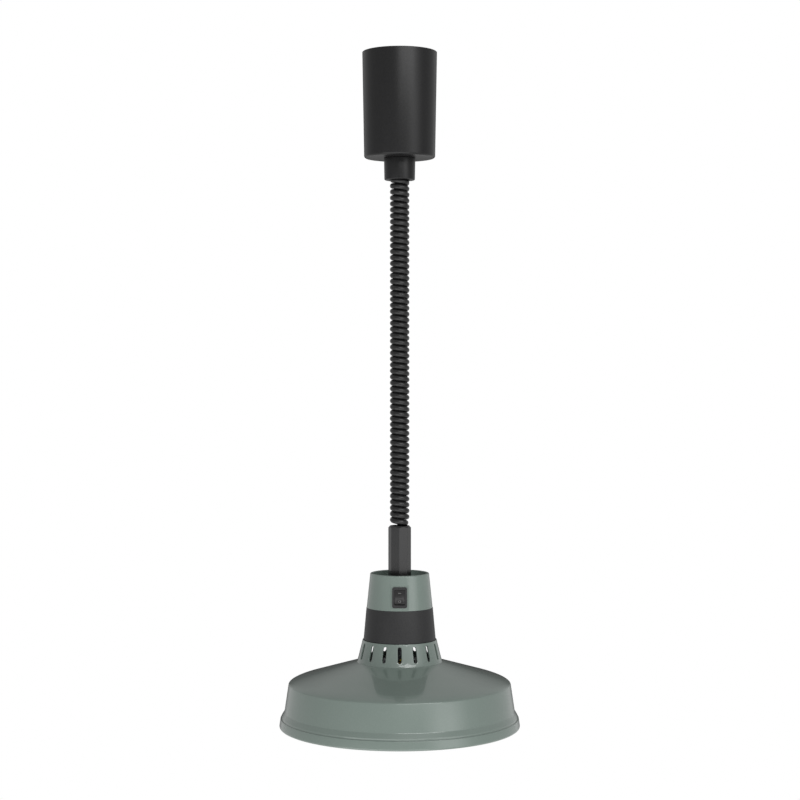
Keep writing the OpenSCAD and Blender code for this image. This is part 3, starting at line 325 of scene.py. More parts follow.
def bevelled(bm, width, segments):
    """Rounds the sharp edges."""
    edges = [e for e in bm.edges if e.is_manifold and e.calc_face_angle(0) > SHARP]
    bmesh.ops.bevel(bm, geom=edges, offset=width, offset_type="OFFSET", segments=segments,
                    profile=0.5, affect="EDGES", clamp_overlap=True, material=-1)
    return bm


def refined(node, width, segments=2):
    """A merged copy of a node's shape with its sharp edges rounded."""
    bm = bmesh.new()
    bm.from_mesh(frame["nodes"][node].data)
    bmesh.ops.remove_doubles(bm, verts=bm.verts[:], dist=2 * MERGE)
    bmesh.ops.dissolve_limit(bm, angle_limit=math.radians(0.5), verts=bm.verts[:],
                             edges=bm.edges[:], use_dissolve_boundaries=False)
    return bevelled(bm, width, segments)


def add_piece(bm, name, material, body, nodes=(), weighted=False, sharp=SHARP):
    """Makes the piece's object, gives it its material and lets it ride on its body, if it has one."""
    mesh = bpy.data.meshes.new(name)
    bm.to_mesh(mesh)
    bm.free()
    mesh.shade_smooth()
    mesh.set_sharp_from_angle(angle=sharp)
    piece = bpy.data.objects.new(name, mesh)
    bpy.context.scene.collection.objects.link(piece)
    mesh.materials.append(material)
    if weighted:
        normals = piece.modifiers.new("Even normals", "WEIGHTED_NORMAL")
        normals.keep_sharp = True
        normals.weight = 80
    if body:
        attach(piece, body)
    if nodes:
        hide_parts(*nodes)
    return piece


# ---- Shared shader effects ----


def new_group(name, inputs, outputs):
    """Empty shader group with float, colour or vector sockets."""
    group = bpy.data.node_groups.new(name, "ShaderNodeTree")
    kinds = {"float": "NodeSocketFloat", "colour": "NodeSocketColor", "vector": "NodeSocketVector"}
    for label, kind, default in inputs:
        socket = group.interface.new_socket(label, in_out="INPUT", socket_type=kinds[kind])
        socket.default_value = default
    for label, kind in outputs:
        group.interface.new_socket(label, in_out="OUTPUT", socket_type=kinds[kind])
    return group, group.nodes.new("NodeGroupInput"), group.nodes.new("NodeGroupOutput")


def noise(tree, scale, detail):
    """Noise on object coordinates; scale is a number or a socket."""
    place = tree.nodes.new("ShaderNodeTexCoord")
    texture = tree.nodes.new("ShaderNodeTexNoise")
    texture.inputs["Detail"].default_value = detail
    tree.links.new(place.outputs["Object"], texture.inputs["Vector"])
    if isinstance(scale, bpy.types.NodeSocket):
        tree.links.new(scale, texture.inputs["Scale"])
    else:
        texture.inputs["Scale"].default_value = scale
    return texture.outputs["Fac"]


def maths(tree, operation, *values):
    """Result of an operation on sockets and numbers."""
    node = tree.nodes.new("ShaderNodeMath")
    node.operation = operation
    for socket, value in zip(node.inputs, values):
        if isinstance(value, bpy.types.NodeSocket):
            tree.links.new(value, socket)
        else:
            socket.default_value = value
    return node.outputs[0]


def mixed(tree, factor, first, second):
    """Mix of two colours, each a socket or a colour."""
    node = tree.nodes.new("ShaderNodeMix")
    node.data_type = "RGBA"
    for name, value in (("Factor", factor), ("A", first), ("B", second)):
        kind = "VALUE" if name == "Factor" else "RGBA"
        socket = next(s for s in node.inputs if s.name == name and s.type == kind)
        if isinstance(value, bpy.types.NodeSocket):
            tree.links.new(value, socket)
        else:
            socket.default_value = value
    return next(s for s in node.outputs if s.type == "RGBA")


def ranged(tree, value, from_low, from_high, to_low, to_high):
    """A value carried from one range to another, and held at its ends."""
    node = tree.nodes.new("ShaderNodeMapRange")
    tree.links.new(value, node.inputs["Value"])
    for name, number in (("From Min", from_low), ("From Max", from_high),
                         ("To Min", to_low), ("To Max", to_high)):
        node.inputs[name].default_value = number
    return node.outputs["Result"]


def ramp(tree, value, stops):
    """Grey levels at positions from 0 to 1."""
    node = tree.nodes.new("ShaderNodeValToRGB")
    elements = node.color_ramp.elements
    while len(elements) < len(stops):
        elements.new(0.5)
    for element, (position, _) in zip(elements, stops):
        element.position = position
    for element, (_, level) in zip(elements, stops):
        element.color = (level, level, level, 1)
    tree.links.new(value, node.inputs["Fac"])
    return node.outputs["Color"]


def patina_group():
    """Slow colour drift, fine speckle and dust on faces that look up."""
    group, given, result = new_group(
        "lamp_patina",
        [("Colour", "colour", (0.5, 0.5, 0.5, 1)), ("Drift", "float", 0.06),
         ("Drift Scale", "float", 9.0), ("Speckle", "float", 0.03),
         ("Speckle Scale", "float", 900.0), ("Dust", "float", 0.0)],
        [("Colour", "colour"), ("Patches", "float")])
    colour = given.outputs["Colour"]
    slow = noise(group, given.outputs["Drift Scale"], 3.0)
    fine = noise(group, given.outputs["Speckle Scale"], 1.0)
    darker = mixed(group, 1.0, colour, (0, 0, 0, 1))
    drift = maths(group, "MULTIPLY", ranged(group, slow, 0.35, 0.65, 0, 1), given.outputs["Drift"])
    speck = maths(group, "MULTIPLY", ranged(group, fine, 0.4, 0.6, 0, 1), given.outputs["Speckle"])
    drifted = mixed(group, drift, colour, darker)
    speckled = mixed(group, speck, drifted, (1, 1, 1, 1))
    facing = group.nodes.new("ShaderNodeNewGeometry")
    split = group.nodes.new("ShaderNodeSeparateXYZ")
    group.links.new(facing.outputs["Normal"], split.inputs["Vector"])
    settled = ranged(group, split.outputs["Z"], 0.75, 1.0, 0, 1)
    clouds = ranged(group, noise(group, 35.0, 4.0), 0.4, 0.7, 0.3, 1)
    dust = maths(group, "MULTIPLY", maths(group, "MULTIPLY", settled, clouds),
                 given.outputs["Dust"])
    dusty = mixed(group, dust, speckled, (0.42, 0.41, 0.38, 1))
    group.links.new(dusty, result.inputs["Colour"])
    group.links.new(slow, result.inputs["Patches"])
    return group


def grain_group():
    """Height of a fine, even grain over slower waves."""
    group, given, result = new_group(
        "lamp_grain",
        [("Grain Scale", "float", 1500.0), ("Wave Scale", "float", 120.0),
         ("Wave Share", "float", 0.5)],
        [("Height", "float")])
    grain = noise(group, given.outputs["Grain Scale"], 2.0)
    waves = noise(group, given.outputs["Wave Scale"], 1.0)
    lifted = maths(group, "MULTIPLY", waves, given.outputs["Wave Share"])
    group.links.new(maths(group, "ADD", grain, lifted), result.inputs["Height"])
    return group


def polish_group():
    """Faint rings that spinning and polishing leave round the Z axis, and handling smears."""
    group, given, result = new_group(
        "lamp_polish",
        [("Ring Scale", "float", 900.0), ("Smear Scale", "float", 14.0)],
        [("Height", "float"), ("Smears", "float")])
    place = group.nodes.new("ShaderNodeTexCoord")
    split = group.nodes.new("ShaderNodeSeparateXYZ")
    group.links.new(place.outputs["Object"], split.inputs["Vector"])
    squares = maths(group, "ADD", maths(group, "POWER", split.outputs["X"], 2.0),
                    maths(group, "POWER", split.outputs["Y"], 2.0))
    radius = maths(group, "SQRT", squares)
    join = group.nodes.new("ShaderNodeCombineXYZ")
    group.links.new(radius, join.inputs["X"])
    group.links.new(maths(group, "MULTIPLY", split.outputs["Z"], 0.7), join.inputs["Y"])
    rings = group.nodes.new("ShaderNodeTexNoise")
    rings.inputs["Detail"].default_value = 3.0
    group.links.new(join.outputs["Vector"], rings.inputs["Vector"])
    group.links.new(given.outputs["Ring Scale"], rings.inputs["Scale"])
    smears = ranged(group, noise(group, given.outputs["Smear Scale"], 5.0), 0.45, 0.75, 0, 1)
    group.links.new(rings.outputs["Fac"], result.inputs["Height"])
    group.links.new(smears, result.inputs["Smears"])
    return group


def drawn_group():
    """Streaks along one direction, as on brushed or rolled sheet."""
    group, given, result = new_group(
        "lamp_drawn_lines",
        [("Line Scale", "float", 60.0), ("Stretch", "vector", (0.05, 8.0, 8.0))],
        [("Height", "float"), ("Streaks", "float")])
    place = group.nodes.new("ShaderNodeTexCoord")
    mapping = group.nodes.new("ShaderNodeMapping")
    group.links.new(place.outputs["Object"], mapping.inputs["Vector"])
    group.links.new(given.outputs["Stretch"], mapping.inputs["Scale"])
    lines = group.nodes.new("ShaderNodeTexNoise")
    lines.inputs["Detail"].default_value = 4.0
    group.links.new(mapping.outputs["Vector"], lines.inputs["Vector"])
    group.links.new(given.outputs["Line Scale"], lines.inputs["Scale"])
    group.links.new(lines.outputs["Fac"], result.inputs["Height"])
    group.links.new(ranged(group, lines.outputs["Fac"], 0.3, 0.7, 0, 1), result.inputs["Streaks"])
    return group


EFFECTS = {
    "patina": patina_group,
    "grain": grain_group,
    "polish": polish_group,
    "drawn": drawn_group,
}
made_effects = {}
made_finishes = {}


def effect(tree, kind, **values):
    """Places a shared effect in a material with its own values."""
    if kind not in made_effects:
        made_effects[kind] = EFFECTS[kind]()
    node = tree.nodes.new("ShaderNodeGroup")
    node.node_tree = made_effects[kind]
    for name, value in values.items():
        node.inputs[name.replace("_", " ")].default_value = value
    return node


# ---- Finishes ----

GRAIN_DEPTH = 0.05 * MM
RING_DEPTH = 0.02 * MM
STREAK_DEPTH = 0.03 * MM
# Brightness of smeared mirror and of the streaks in drawn metal, beside the clean metal
SMEARED = 0.92
STREAKED = 0.8


def new_finish(name):
    """A new material, its node tree and its shader."""
    material = bpy.data.materials.new(name)
    material.use_nodes = True
    return material, material.node_tree, material.node_tree.nodes["Principled BSDF"]


def set_shader(shader, **values):
    """Sets constants on the shader's own sockets."""
    for name, value in values.items():
        shader.inputs[name.replace("_", " ")].default_value = value


def with_bump(tree, shader, height, strength, distance):
    """Feeds a height to the shader's normal."""
    bump = tree.nodes.new("ShaderNodeBump")
    bump.inputs["Strength"].default_value = strength
    bump.inputs["Distance"].default_value = distance
    tree.links.new(height, bump.inputs["Height"])
    tree.links.new(bump.outputs["Normal"], shader.inputs["Normal"])


def coated(name, colour, rough, drift=0.05, speckle=0.02, speckle_scale=900.0, dust=0.0,
           grain=1500.0, waves=120.0, share=0.5, strength=0.2, **shader_values):
    """Paint, moulding, rubber or ceramic: patina in the colour and grain in the surface."""
    material, tree, shader = new_finish(name)
    patina = effect(tree, "patina", Colour=(*colour, 1), Drift=drift, Speckle=speckle,
                    Speckle_Scale=speckle_scale, Dust=dust)
    tree.links.new(patina.outputs["Colour"], shader.inputs["Base Color"])
    tree.links.new(ranged(tree, patina.outputs["Patches"], 0.3, 0.7, rough[0], rough[1]),
                   shader.inputs["Roughness"])
    texture = effect(tree, "grain", Grain_Scale=grain, Wave_Scale=waves, Wave_Share=share)
    with_bump(tree, shader, texture.outputs["Height"], strength, GRAIN_DEPTH)
    set_shader(shader, **shader_values)
    return material


def polished(name, colour, rough, ring_scale=900.0, smear=0.05):
    """Mirror-bright spun or plated metal with faint rings and smears."""
    material, tree, shader = new_finish(name)
    marks = effect(tree, "polish", Ring_Scale=ring_scale)
    dull = tuple(c * SMEARED for c in colour)
    tree.links.new(mixed(tree, marks.outputs["Smears"], (*colour, 1), (*dull, 1)),
                   shader.inputs["Base Color"])
    tree.links.new(ranged(tree, marks.outputs["Smears"], 0, 1, rough, rough + smear),
                   shader.inputs["Roughness"])
    with_bump(tree, shader, marks.outputs["Height"], 0.02, RING_DEPTH)
    set_shader(shader, Metallic=1.0)
    return material


def drawn(name, colour, rough, scale=60.0, stretch=(0.05, 8.0, 8.0)):
    """Rolled, brushed or drawn metal with streaks."""
    material, tree, shader = new_finish(name)
    lines = effect(tree, "drawn", Line_Scale=scale, Stretch=stretch)
    dull = tuple(c * STREAKED for c in colour)
    tree.links.new(mixed(tree, lines.outputs["Streaks"], (*dull, 1), (*colour, 1)),
                   shader.inputs["Base Color"])
    tree.links.new(ranged(tree, lines.outputs["Streaks"], 0, 1, rough[0], rough[1]),
                   shader.inputs["Roughness"])
    with_bump(tree, shader, lines.outputs["Height"], 0.1, STREAK_DEPTH)
    set_shader(shader, Metallic=1.0)
    return material


def quartz():
    """Clear tube with faint drawing lines along its length."""
    material, tree, shader = new_finish("clear_quartz")
    lines = effect(tree, "drawn", Line_Scale=40.0, Stretch=(0.04, 6.0, 6.0))
    tree.links.new(ranged(tree, lines.outputs["Streaks"], 0, 1, 0.01, 0.09),
                   shader.inputs["Roughness"])
    with_bump(tree, shader, lines.outputs["Height"], 0.06, GRAIN_DEPTH)
    set_shader(shader, Base_Color=(0.97, 0.985, 0.99, 1), Transmission_Weight=1.0, IOR=1.458)
    return material


def striped_sheath():
    """Green sheath with a yellow stripe on either side of the wire."""
    material, tree, shader = new_finish("earth_sheath")
    place = tree.nodes.new("ShaderNodeTexCoord")
    split = tree.nodes.new("ShaderNodeSeparateXYZ")
    tree.links.new(place.outputs["Normal"], split.inputs["Vector"])
    stripe = ranged(tree, maths(tree, "ABSOLUTE", split.outputs["Y"]), 0.62, 0.68, 0, 1)
    both = mixed(tree, stripe, (*linear("3f7a35"), 1), (*linear("d9c22e"), 1))
    patina = effect(tree, "patina", Drift=0.08, Speckle=0.0)
    tree.links.new(both, patina.inputs["Colour"])
    tree.links.new(patina.outputs["Colour"], shader.inputs["Base Color"])
    tree.links.new(ranged(tree, patina.outputs["Patches"], 0.3, 0.7, 0.35, 0.5),
                   shader.inputs["Roughness"])
    return material


def finish(slot):
    """The finish of a material slot, made once."""
    if slot in made_finishes:
        return made_finishes[slot]
    colours = bpy.context.scene.heat_lamp_colours
    gloss = dict(Coat_Weight=1.0, Coat_Roughness=0.03, Coat_IOR=1.5)
    recipes = {
        "green_enamel": lambda: coated(
            "green_enamel", colours.green, (0.34, 0.42), drift=0.035, speckle=0.012, dust=0.05,
            waves=55.0, grain=700.0, share=1.5, strength=0.05, **gloss),
        "green_moulding": lambda: coated(
            "green_moulding", colours.green, (0.36, 0.44), drift=0.03, speckle=0.012, dust=0.05,
            waves=90.0, grain=900.0, share=1.0, strength=0.06, **gloss),
        "black_satin": lambda: coated(
            "black_satin", colours.black, (0.3, 0.36), drift=0.1, speckle=0.004, dust=0.1,
            grain=1600.0, waves=500.0, share=0.8, strength=0.3, IOR=1.42),
        "black_sleeve": lambda: coated(
            "black_sleeve", linear("121213"), (0.22, 0.3), drift=0.1, speckle=0.004,
            grain=1400.0, waves=300.0, strength=0.2, IOR=1.6),
        "black_plastic": lambda: coated(
            "black_plastic", colours.moulding, (0.42, 0.5), drift=0.1, speckle=0.006,
            grain=1700.0, waves=700.0, share=0.8, strength=0.3, IOR=1.4),
        "rocker_black": lambda: coated(
            "rocker_black", linear("0c0c0d"), (0.32, 0.4), drift=0.1, speckle=0.0,
            grain=1900.0, waves=400.0, strength=0.05),
        "black_rubber": lambda: coated(
            "black_rubber", colours.sheath, (0.26, 0.34), drift=0.15, speckle=0.012, dust=0.04,
            grain=2200.0, waves=600.0, strength=0.25),
        "zinc_steel": lambda: drawn("zinc_steel", linear("b4b7ba"), (0.26, 0.4)),
        "brass": lambda: drawn("brass", linear("c9a24a"), (0.25, 0.38), scale=90.0),
        "ceramic": lambda: coated(
            "ceramic", colours.ceramic, (0.5, 0.62), drift=0.05, speckle=0.03,
            speckle_scale=1300.0, grain=1800.0, waves=260.0, strength=0.3,
            Subsurface_Weight=0.15, Subsurface_Scale=0.002),
        "nylon": lambda: coated(
            "nylon", linear("d8d3c8"), (0.4, 0.5), speckle=0.02,
            Subsurface_Weight=0.2, Subsurface_Scale=0.002),
        "chrome": lambda: polished("chrome", colours.chrome, 0.03),
        "dark_mirror": lambda: polished(
            "dark_mirror", linear("4a4a4e"), 0.06, ring_scale=300.0, smear=0.08),
        "satin_aluminium": lambda: drawn(
            "satin_aluminium", linear("c9cbcc"), (0.26, 0.36), scale=50.0,
            stretch=(0.04, 7.0, 7.0)),
        "quartz": quartz,
        "nickel_wire": lambda: drawn("nickel_wire", linear("9c9fa2"), (0.2, 0.32), scale=200.0),
        "wire_brown": lambda: coated("wire_brown", linear("6b3f1d"), (0.35, 0.45)),
        "wire_blue": lambda: coated("wire_blue", linear("2f66a8"), (0.35, 0.45)),
        "wire_green_yellow": striped_sheath,
        "wire_grey": lambda: coated(
            "wire_grey", linear("77756f"), (0.6, 0.75), grain=2500.0, strength=0.6),
        "mark": lambda: coated("switch_mark", linear("6a6a6a"), (0.5, 0.6), speckle=0.05),
        "tungsten": lambda: drawn("tungsten", linear("8d8a86"), (0.3, 0.45), scale=300.0),
    }
    made_finishes[slot] = recipes[slot]()
    return made_finishes[slot]


# ---- Operators ----


class LampPieceOperator:
    """Shared base: builds from the scene's sizes and reports that it finished."""

    bl_options = {"REGISTER", "UNDO"}

    def execute(self, context):
        self.build(context.scene.heat_lamp_sizes)
        return {"FINISHED"}


def coil_path(sizes):
    """Centreline of the curly cord, from the collar's bush to the sleeve's mouth.

    It leaves the axis over the lead, holds the coil's radius, and comes back over the tail.
    """
    coil_radius = high("coil_cord").x - sizes.cord_diameter / 2
    top = high("coil_cord").z
    bottom = low("coil_cord").z
    lead = 0.8
    lead_drop = 6 * MM
    start_angle = -1.66
    tail = 0.75
    tail_start = bottom + 4.6 * MM
    tail_drop = 10.6 * MM
    tail_slope = 0.4
    turns = (top - lead_drop - tail_start) / sizes.coil_pitch
    per_turn = 24
    count = int((lead + turns + tail) * per_turn)
    path = []
    for i in range(count + 1):
        t = i / count * (lead + turns + tail)
        if t < lead:
            share = t / lead
            reach = coil_radius * share * share * (3 - 2 * share)
            slope = sizes.coil_pitch * lead / lead_drop
            z = top - lead_drop * (share * slope + (1 - slope) * (1 - (1 - share) ** 2))
        elif t < lead + turns:
            reach = coil_radius
            z = top - lead_drop - sizes.coil_pitch * (t - lead)
        else:
            share = (t - lead - turns) / tail
            reach = coil_radius * (1 - share * share * (3 - 2 * share))
            z = tail_start - tail_drop * share * (tail_slope + (1 - tail_slope) * share)
        angle = 2 * math.pi * t + start_angle
        path.append(Vector((reach * math.cos(angle), reach * math.sin(angle), z)))
    return path


def open_evenly(piece):
    """Makes each ring of a blended tube move as one, so that its turns open evenly."""
    along = piece.data.attributes["along"].data
    for vert, weight in zip(along, piece.data.attributes["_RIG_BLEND"].data):
        weight.value = vert.value


class HEATLAMP_OT_cord(LampPieceOperator, bpy.types.Operator):
    """Wind the curly cord between the collar and the sleeve"""

    bl_idname = "heat_lamp.cord"
    bl_label = "Curly Cord"

    def build(self, sizes):
        path = coil_path(sizes)
        sides = 12
        bm = tube(path, sizes.cord_diameter / 2, sides, along="along")
        piece = add_piece(bm, "curly_cord", finish("black_rubber"), None,
                          nodes=["coil_cord"], sharp=math.radians(60))
        top, bottom = path[0], path[-1]
        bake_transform(piece, "ceiling_mount", "lamp_head", start=top, end=bottom)
        open_evenly(piece)


class HEATLAMP_OT_canopy(LampPieceOperator, bpy.types.Operator):
    """Spin the canopy cup and the collar under it"""

    bl_idname = "heat_lamp.canopy"
    bl_label = "Canopy and Collar"

    def build(self, sizes):
        top, bottom = high("canopy"), low("canopy")
        wall = sizes.canopy_wall
        end_r = top.x - sizes.canopy_taper
        hole_r, lip = 8.2 * MM, 0.5 * MM
        cup = rounded([
            (hole_r, bottom.z, 0),
            (end_r, bottom.z, sizes.canopy_edge),
            (top.x, top.z, lip),
            (top.x - wall, top.z, lip),
            (end_r - wall, bottom.z + wall, sizes.canopy_edge - wall + lip),
            (hole_r, bottom.z + wall, 0),
        ])
        add_piece(spun(cup), "canopy_cup", finish("black_satin"), "ceiling_mount", ["canopy"])

        collar_top, collar_end = bottom.z, low("collar").z
        body_r, mouth_r = high("collar").x, high("collar").x - 0.5 * MM
        pocket_r, pocket_z = 12 * MM, high("coil_cord").z
        spigot_r, bore_r, step_r = 8 * MM, 5.5 * MM, 7.7 * MM
        step_z = pocket_z + 2.3 * MM
        collar = rounded([
            (bore_r, high("collar").z, 0.3 * MM),
            (bore_r, step_z, 0),
            (step_r, step_z, 0),
            (step_r, pocket_z, 0.2 * MM),
            (pocket_r, pocket_z, 0.3 * MM),
            (pocket_r, collar_end, 0.6 * MM),
            (mouth_r, collar_end, 1.2 * MM),
            (body_r, collar_top, 0.6 * MM),
            (spigot_r, collar_top, 0),
            (spigot_r, high("collar").z, 0.5 * MM),
        ])
        add_piece(spun(collar, 96), "cord_collar", finish("black_satin"), "ceiling_mount",
                  ["collar"])


class HEATLAMP_OT_sleeve(LampPieceOperator, bpy.types.Operator):
    """Round the edges of the octagonal sleeve"""

    bl_idname = "heat_lamp.sleeve"
    bl_label = "Octagonal Sleeve"

    def build(self, sizes):
        add_piece(refined("sleeve", 0.25 * MM), "octagonal_sleeve", finish("black_sleeve"),
                  "lamp_head", ["sleeve"], weighted=True)


class HEATLAMP_OT_neck(LampPieceOperator, bpy.types.Operator):
    """Round the edges of the neck housing"""

    bl_idname = "heat_lamp.neck"
    bl_label = "Neck Housing"

    def build(self, sizes):
        add_piece(refined("neck_housing", 0.25 * MM), "neck_shell", finish("green_moulding"),
                  "lamp_head", ["neck_housing"], weighted=True)


def switch_matrix():
    """Place of the switch: its pivot as the origin, x to the right, y up the slope, z outwards."""
    joint = next(j for j in frame["record"]["behaviour"]["joints"] if j["name"] == "switch_rock")
    lean = math.radians(5.9)
    return Matrix.Translation(joint["pos_m"]) @ Matrix.Rotation(math.pi / 2 - lean, 4, "X")


class HEATLAMP_OT_switch(LampPieceOperator, bpy.types.Operator):
    """Round the switch's edges and fill the two marks on its rocker"""

    bl_idname = "heat_lamp.switch"
    bl_label = "Rocker Switch"

    def build(self, sizes):
        add_piece(refined("switch_body", sizes.edge_round, 3), "switch_bezel",
                  finish("black_plastic"), "lamp_head", ["switch_body"], weighted=True)
        add_piece(refined("rocker", 0.2 * MM), "switch_rocker_cap", finish("rocker_black"),
                  "switch_rocker", ["rocker"], weighted=True)
        rest_tip = math.radians(-9)
        place = switch_matrix() @ Matrix.Rotation(rest_tip, 4, "X")
        offset, bar_l, bar_w, ring_r = 4.6 * MM, 3.2 * MM, 0.6 * MM, 1.25 * MM
        rise, thick = 2.14 * MM, 0.1 * MM
        lean = math.atan(0.2)
        bar = bmesh.new()
        bmesh.ops.create_cube(bar, size=1)
        bmesh.ops.scale(bar, verts=bar.verts[:], vec=(bar_l, bar_w, thick))
        bmesh.ops.rotate(bar, verts=bar.verts[:], matrix=Matrix.Rotation(lean, 3, "X"))
        bmesh.ops.translate(bar, verts=bar.verts[:], vec=(0, offset, rise))
        bmesh.ops.transform(bar, matrix=place, verts=bar.verts[:])
        add_piece(bar, "mark_on", finish("mark"), "switch_rocker")
        half_line = 0.25 * MM
        section = [(ring_r + across * half_line, up * thick / 2)
                   for across, up in ((-1, -1), (1, -1), (1, 1), (-1, 1))]
        ring = spun(section, 32)
        bmesh.ops.rotate(ring, verts=ring.verts[:], matrix=Matrix.Rotation(-lean, 3, "X"))
        bmesh.ops.translate(ring, verts=ring.verts[:], vec=(0, -offset, rise))
        bmesh.ops.transform(ring, matrix=place, verts=ring.verts[:])
        add_piece(ring, "mark_off", finish("mark"), "switch_rocker")


class HEATLAMP_OT_grip_band(LampPieceOperator, bpy.types.Operator):
    """Spin the black grip band"""

    bl_idname = "heat_lamp.grip_band"
    bl_label = "Grip Band"

    def build(self, sizes):
        top, bottom = high("grip_band").z, low("grip_band").z
        end_r = high("grip_band").x
        top_r = end_r - 3.3 * MM
        wall = 2.5 * MM
        tongue_r = high("vent_collar").x - 9.15 * MM
        tongue_z = bottom + 2 * MM
        band = rounded([
            (top_r - wall, top, 0.3 * MM),
            (top_r - wall, top - 4 * MM, 0.5 * MM),
            (end_r - wall, tongue_z + 3 * MM, 0.5 * MM),
            (tongue_r - 2 * MM, bottom, 0.3 * MM),
            (tongue_r, bottom, 0.3 * MM),
            (tongue_r, tongue_z, 0),
            (end_r, tongue_z, 0.6 * MM),
            (top_r, top, 0.6 * MM),
        ])
        add_piece(spun(band), "grip_band_shell", finish("black_plastic"), "lamp_head",
                  ["grip_band"])


class HEATLAMP_OT_vent_collar(LampPieceOperator, bpy.types.Operator):
    """Cut one vent slot in the flat, wrap it round the cone and repeat it"""

    bl_idname = "heat_lamp.vent_collar"
    bl_label = "Vent Collar"

    def build(self, sizes):
        top, base = high("vent_collar").z, low("vent_collar").z
        base_r = high("vent_collar").x
        top_r = base_r - 6.8 * MM
        knee_z = base + 2.6 * MM
        knee_r = base_r - 1.2 * MM
        slot_top, slot_end = top - 2.9 * MM, base + 4.4 * MM
        half_w = sizes.vent_slot_width / 2
        half_bay = math.pi / sizes.vent_slots
        snap = 0.4 * MM

        def outside(z):
            if z > knee_z:
                return top_r + (top - z) / (top - knee_z) * (knee_r - top_r)
            share = (knee_z - z) / (knee_z - base)
            return knee_r + (base_r - knee_r) * (share + share * share) / 2

        slot = []
        arc_steps, straight_steps = 12, 6
        for end, centre_z in ((1, slot_top - half_w), (-1, slot_end + half_w)):
            for k in range(arc_steps + 1):
                a = math.pi * k / arc_steps
                outward = end * Vector((math.cos(a), math.sin(a)))
                slot.append((Vector((0, centre_z)) + half_w * outward, outward))
            span = slot_top - slot_end - 2 * half_w
            for k in range(1, straight_steps):
                z = centre_z - end * span * k / straight_steps
                slot.append((Vector((-end * half_w, z)), Vector((-end, 0))))

        def border(point, outward):
            """Where a ray from the slot meets the bay's edge."""
            reach = []
            limit = outside(point.y) * half_bay
            if abs(outward.x) > MERGE:
                reach.append((limit - abs(point.x)) / abs(outward.x))
            if outward.y > MERGE:
                reach.append((top - point.y) / outward.y)
            if outward.y < -MERGE:
                reach.append((point.y - base) / -outward.y)
            met = point + outward * min(reach)
            side = outside(met.y) * half_bay
            if abs(abs(met.x) - side) < snap:
                met.x = math.copysign(side, met.x)
            return met

        edge = [border(p, d) for p, d in slot]
        for corner_z in (top, base):
            for side in (-1, 1):
                corner = Vector((side * outside(corner_z) * half_bay, corner_z))
                nearest = min(range(len(edge)), key=lambda i: (edge[i] - corner).length)
                edge[nearest] = corner
        bm = bmesh.new()
        verts = ring_of_points(bm, [(p.x, p.y, 0) for p, _ in slot])
        layers = 5
        for layer in range(1, layers + 1):
            share = layer / layers
            verts = next_ring(bm, verts, [(p.lerp(q, share).x, p.lerp(q, share).y, 0)
                                          for (p, _), q in zip(slot, edge)])
        for vert in bm.verts:
            z = vert.co.y
            angle = vert.co.x / outside(z)
            vert.co = (outside(z) * math.sin(angle), -outside(z) * math.cos(angle), z)
        bmesh.ops.spin(bm, geom=bm.verts[:] + bm.edges[:] + bm.faces[:], cent=(0, 0, 0),
                       axis=(0, 0, 1), angle=2 * math.pi * (1 - 1 / sizes.vent_slots),
                       steps=sizes.vent_slots - 1, use_duplicate=True)
        bmesh.ops.remove_doubles(bm, verts=bm.verts[:], dist=20 * MERGE)
        bmesh.ops.recalc_face_normals(bm, faces=bm.faces[:])
        sample = next(iter(bm.faces))
        if sample.normal.dot(Vector((*sample.calc_center_median().xy, 0))) < 0:
            bmesh.ops.reverse_faces(bm, faces=bm.faces[:])
        piece = add_piece(bm, "vent_collar_shell", finish("green_moulding"), "lamp_head",
                          ["vent_collar"])
        wall = piece.modifiers.new("Wall", "SOLIDIFY")
        wall.thickness = 2.2 * MM
        wall.offset = -1
        edges = piece.modifiers.new("Soft edges", "BEVEL")
        edges.width = 0.35 * MM
        edges.segments = 3
        edges.limit_method = "ANGLE"
        edges.angle_limit = math.radians(50)


def shade_outer_line(sizes):
    """Outer face of the shade, from its top hole to its turned-in lip."""
    rim_r = high("shade").x
    top, mouth = high("shade").z, low("shade").z
    base_r = high("vent_collar").x
    skirt_r = rim_r - 1.7 * MM
    wall_end_r = skirt_r - 4.4 * MM
    wall_flare, wall_h, ledge_h, skirt_h = 5 * MM, 33.3 * MM, 6.5 * MM, 11.8 * MM
    hole_r = 38 * MM
    corner_r = wall_end_r - wall_flare
    z_corner = top - sizes.cone_slope * (corner_r - base_r)
    z_wall_end = z_corner - wall_h
    shoulder_in, shoulder_down = 16.4 * MM, 3 * MM
    lip_r, lip_w = 2 * MM, 7.5 * MM
    groove = 1.2 * MM
    shoulder = (corner_r - shoulder_in, z_corner + shoulder_in * sizes.cone_slope)
    below = (corner_r + shoulder_down * wall_flare / wall_h, z_corner - shoulder_down)
    return (
        rounded([(hole_r, top, 0), (base_r, top, 4 * MM), (*shoulder, 0)])
        + curved(shoulder, (corner_r, z_corner), below)
        + rounded([(*below, 0), (wall_end_r, z_wall_end, 3 * MM),
                   (skirt_r - groove, z_wall_end - ledge_h + groove, 0.4 * MM),
                   (skirt_r - groove, z_wall_end - ledge_h - 0.9 * MM, 0.3 * MM),
                   (skirt_r + 0.1 * MM, z_wall_end - ledge_h - 1.1 * MM, 0.7 * MM),
                   (rim_r, mouth, lip_r), (rim_r - lip_w, mouth, 0)])
    )


class HEATLAMP_OT_shade(LampPieceOperator, bpy.types.Operator):
    """Spin the enamelled shade"""

    bl_idname = "heat_lamp.shade"
    bl_label = "Shade"

    def build(self, sizes):
        outline = sheet_outline(shade_outer_line(sizes), sizes.sheet)
        add_piece(spun(outline, 192), "spun_shade", finish("green_enamel"), "lamp_head", ["shade"])


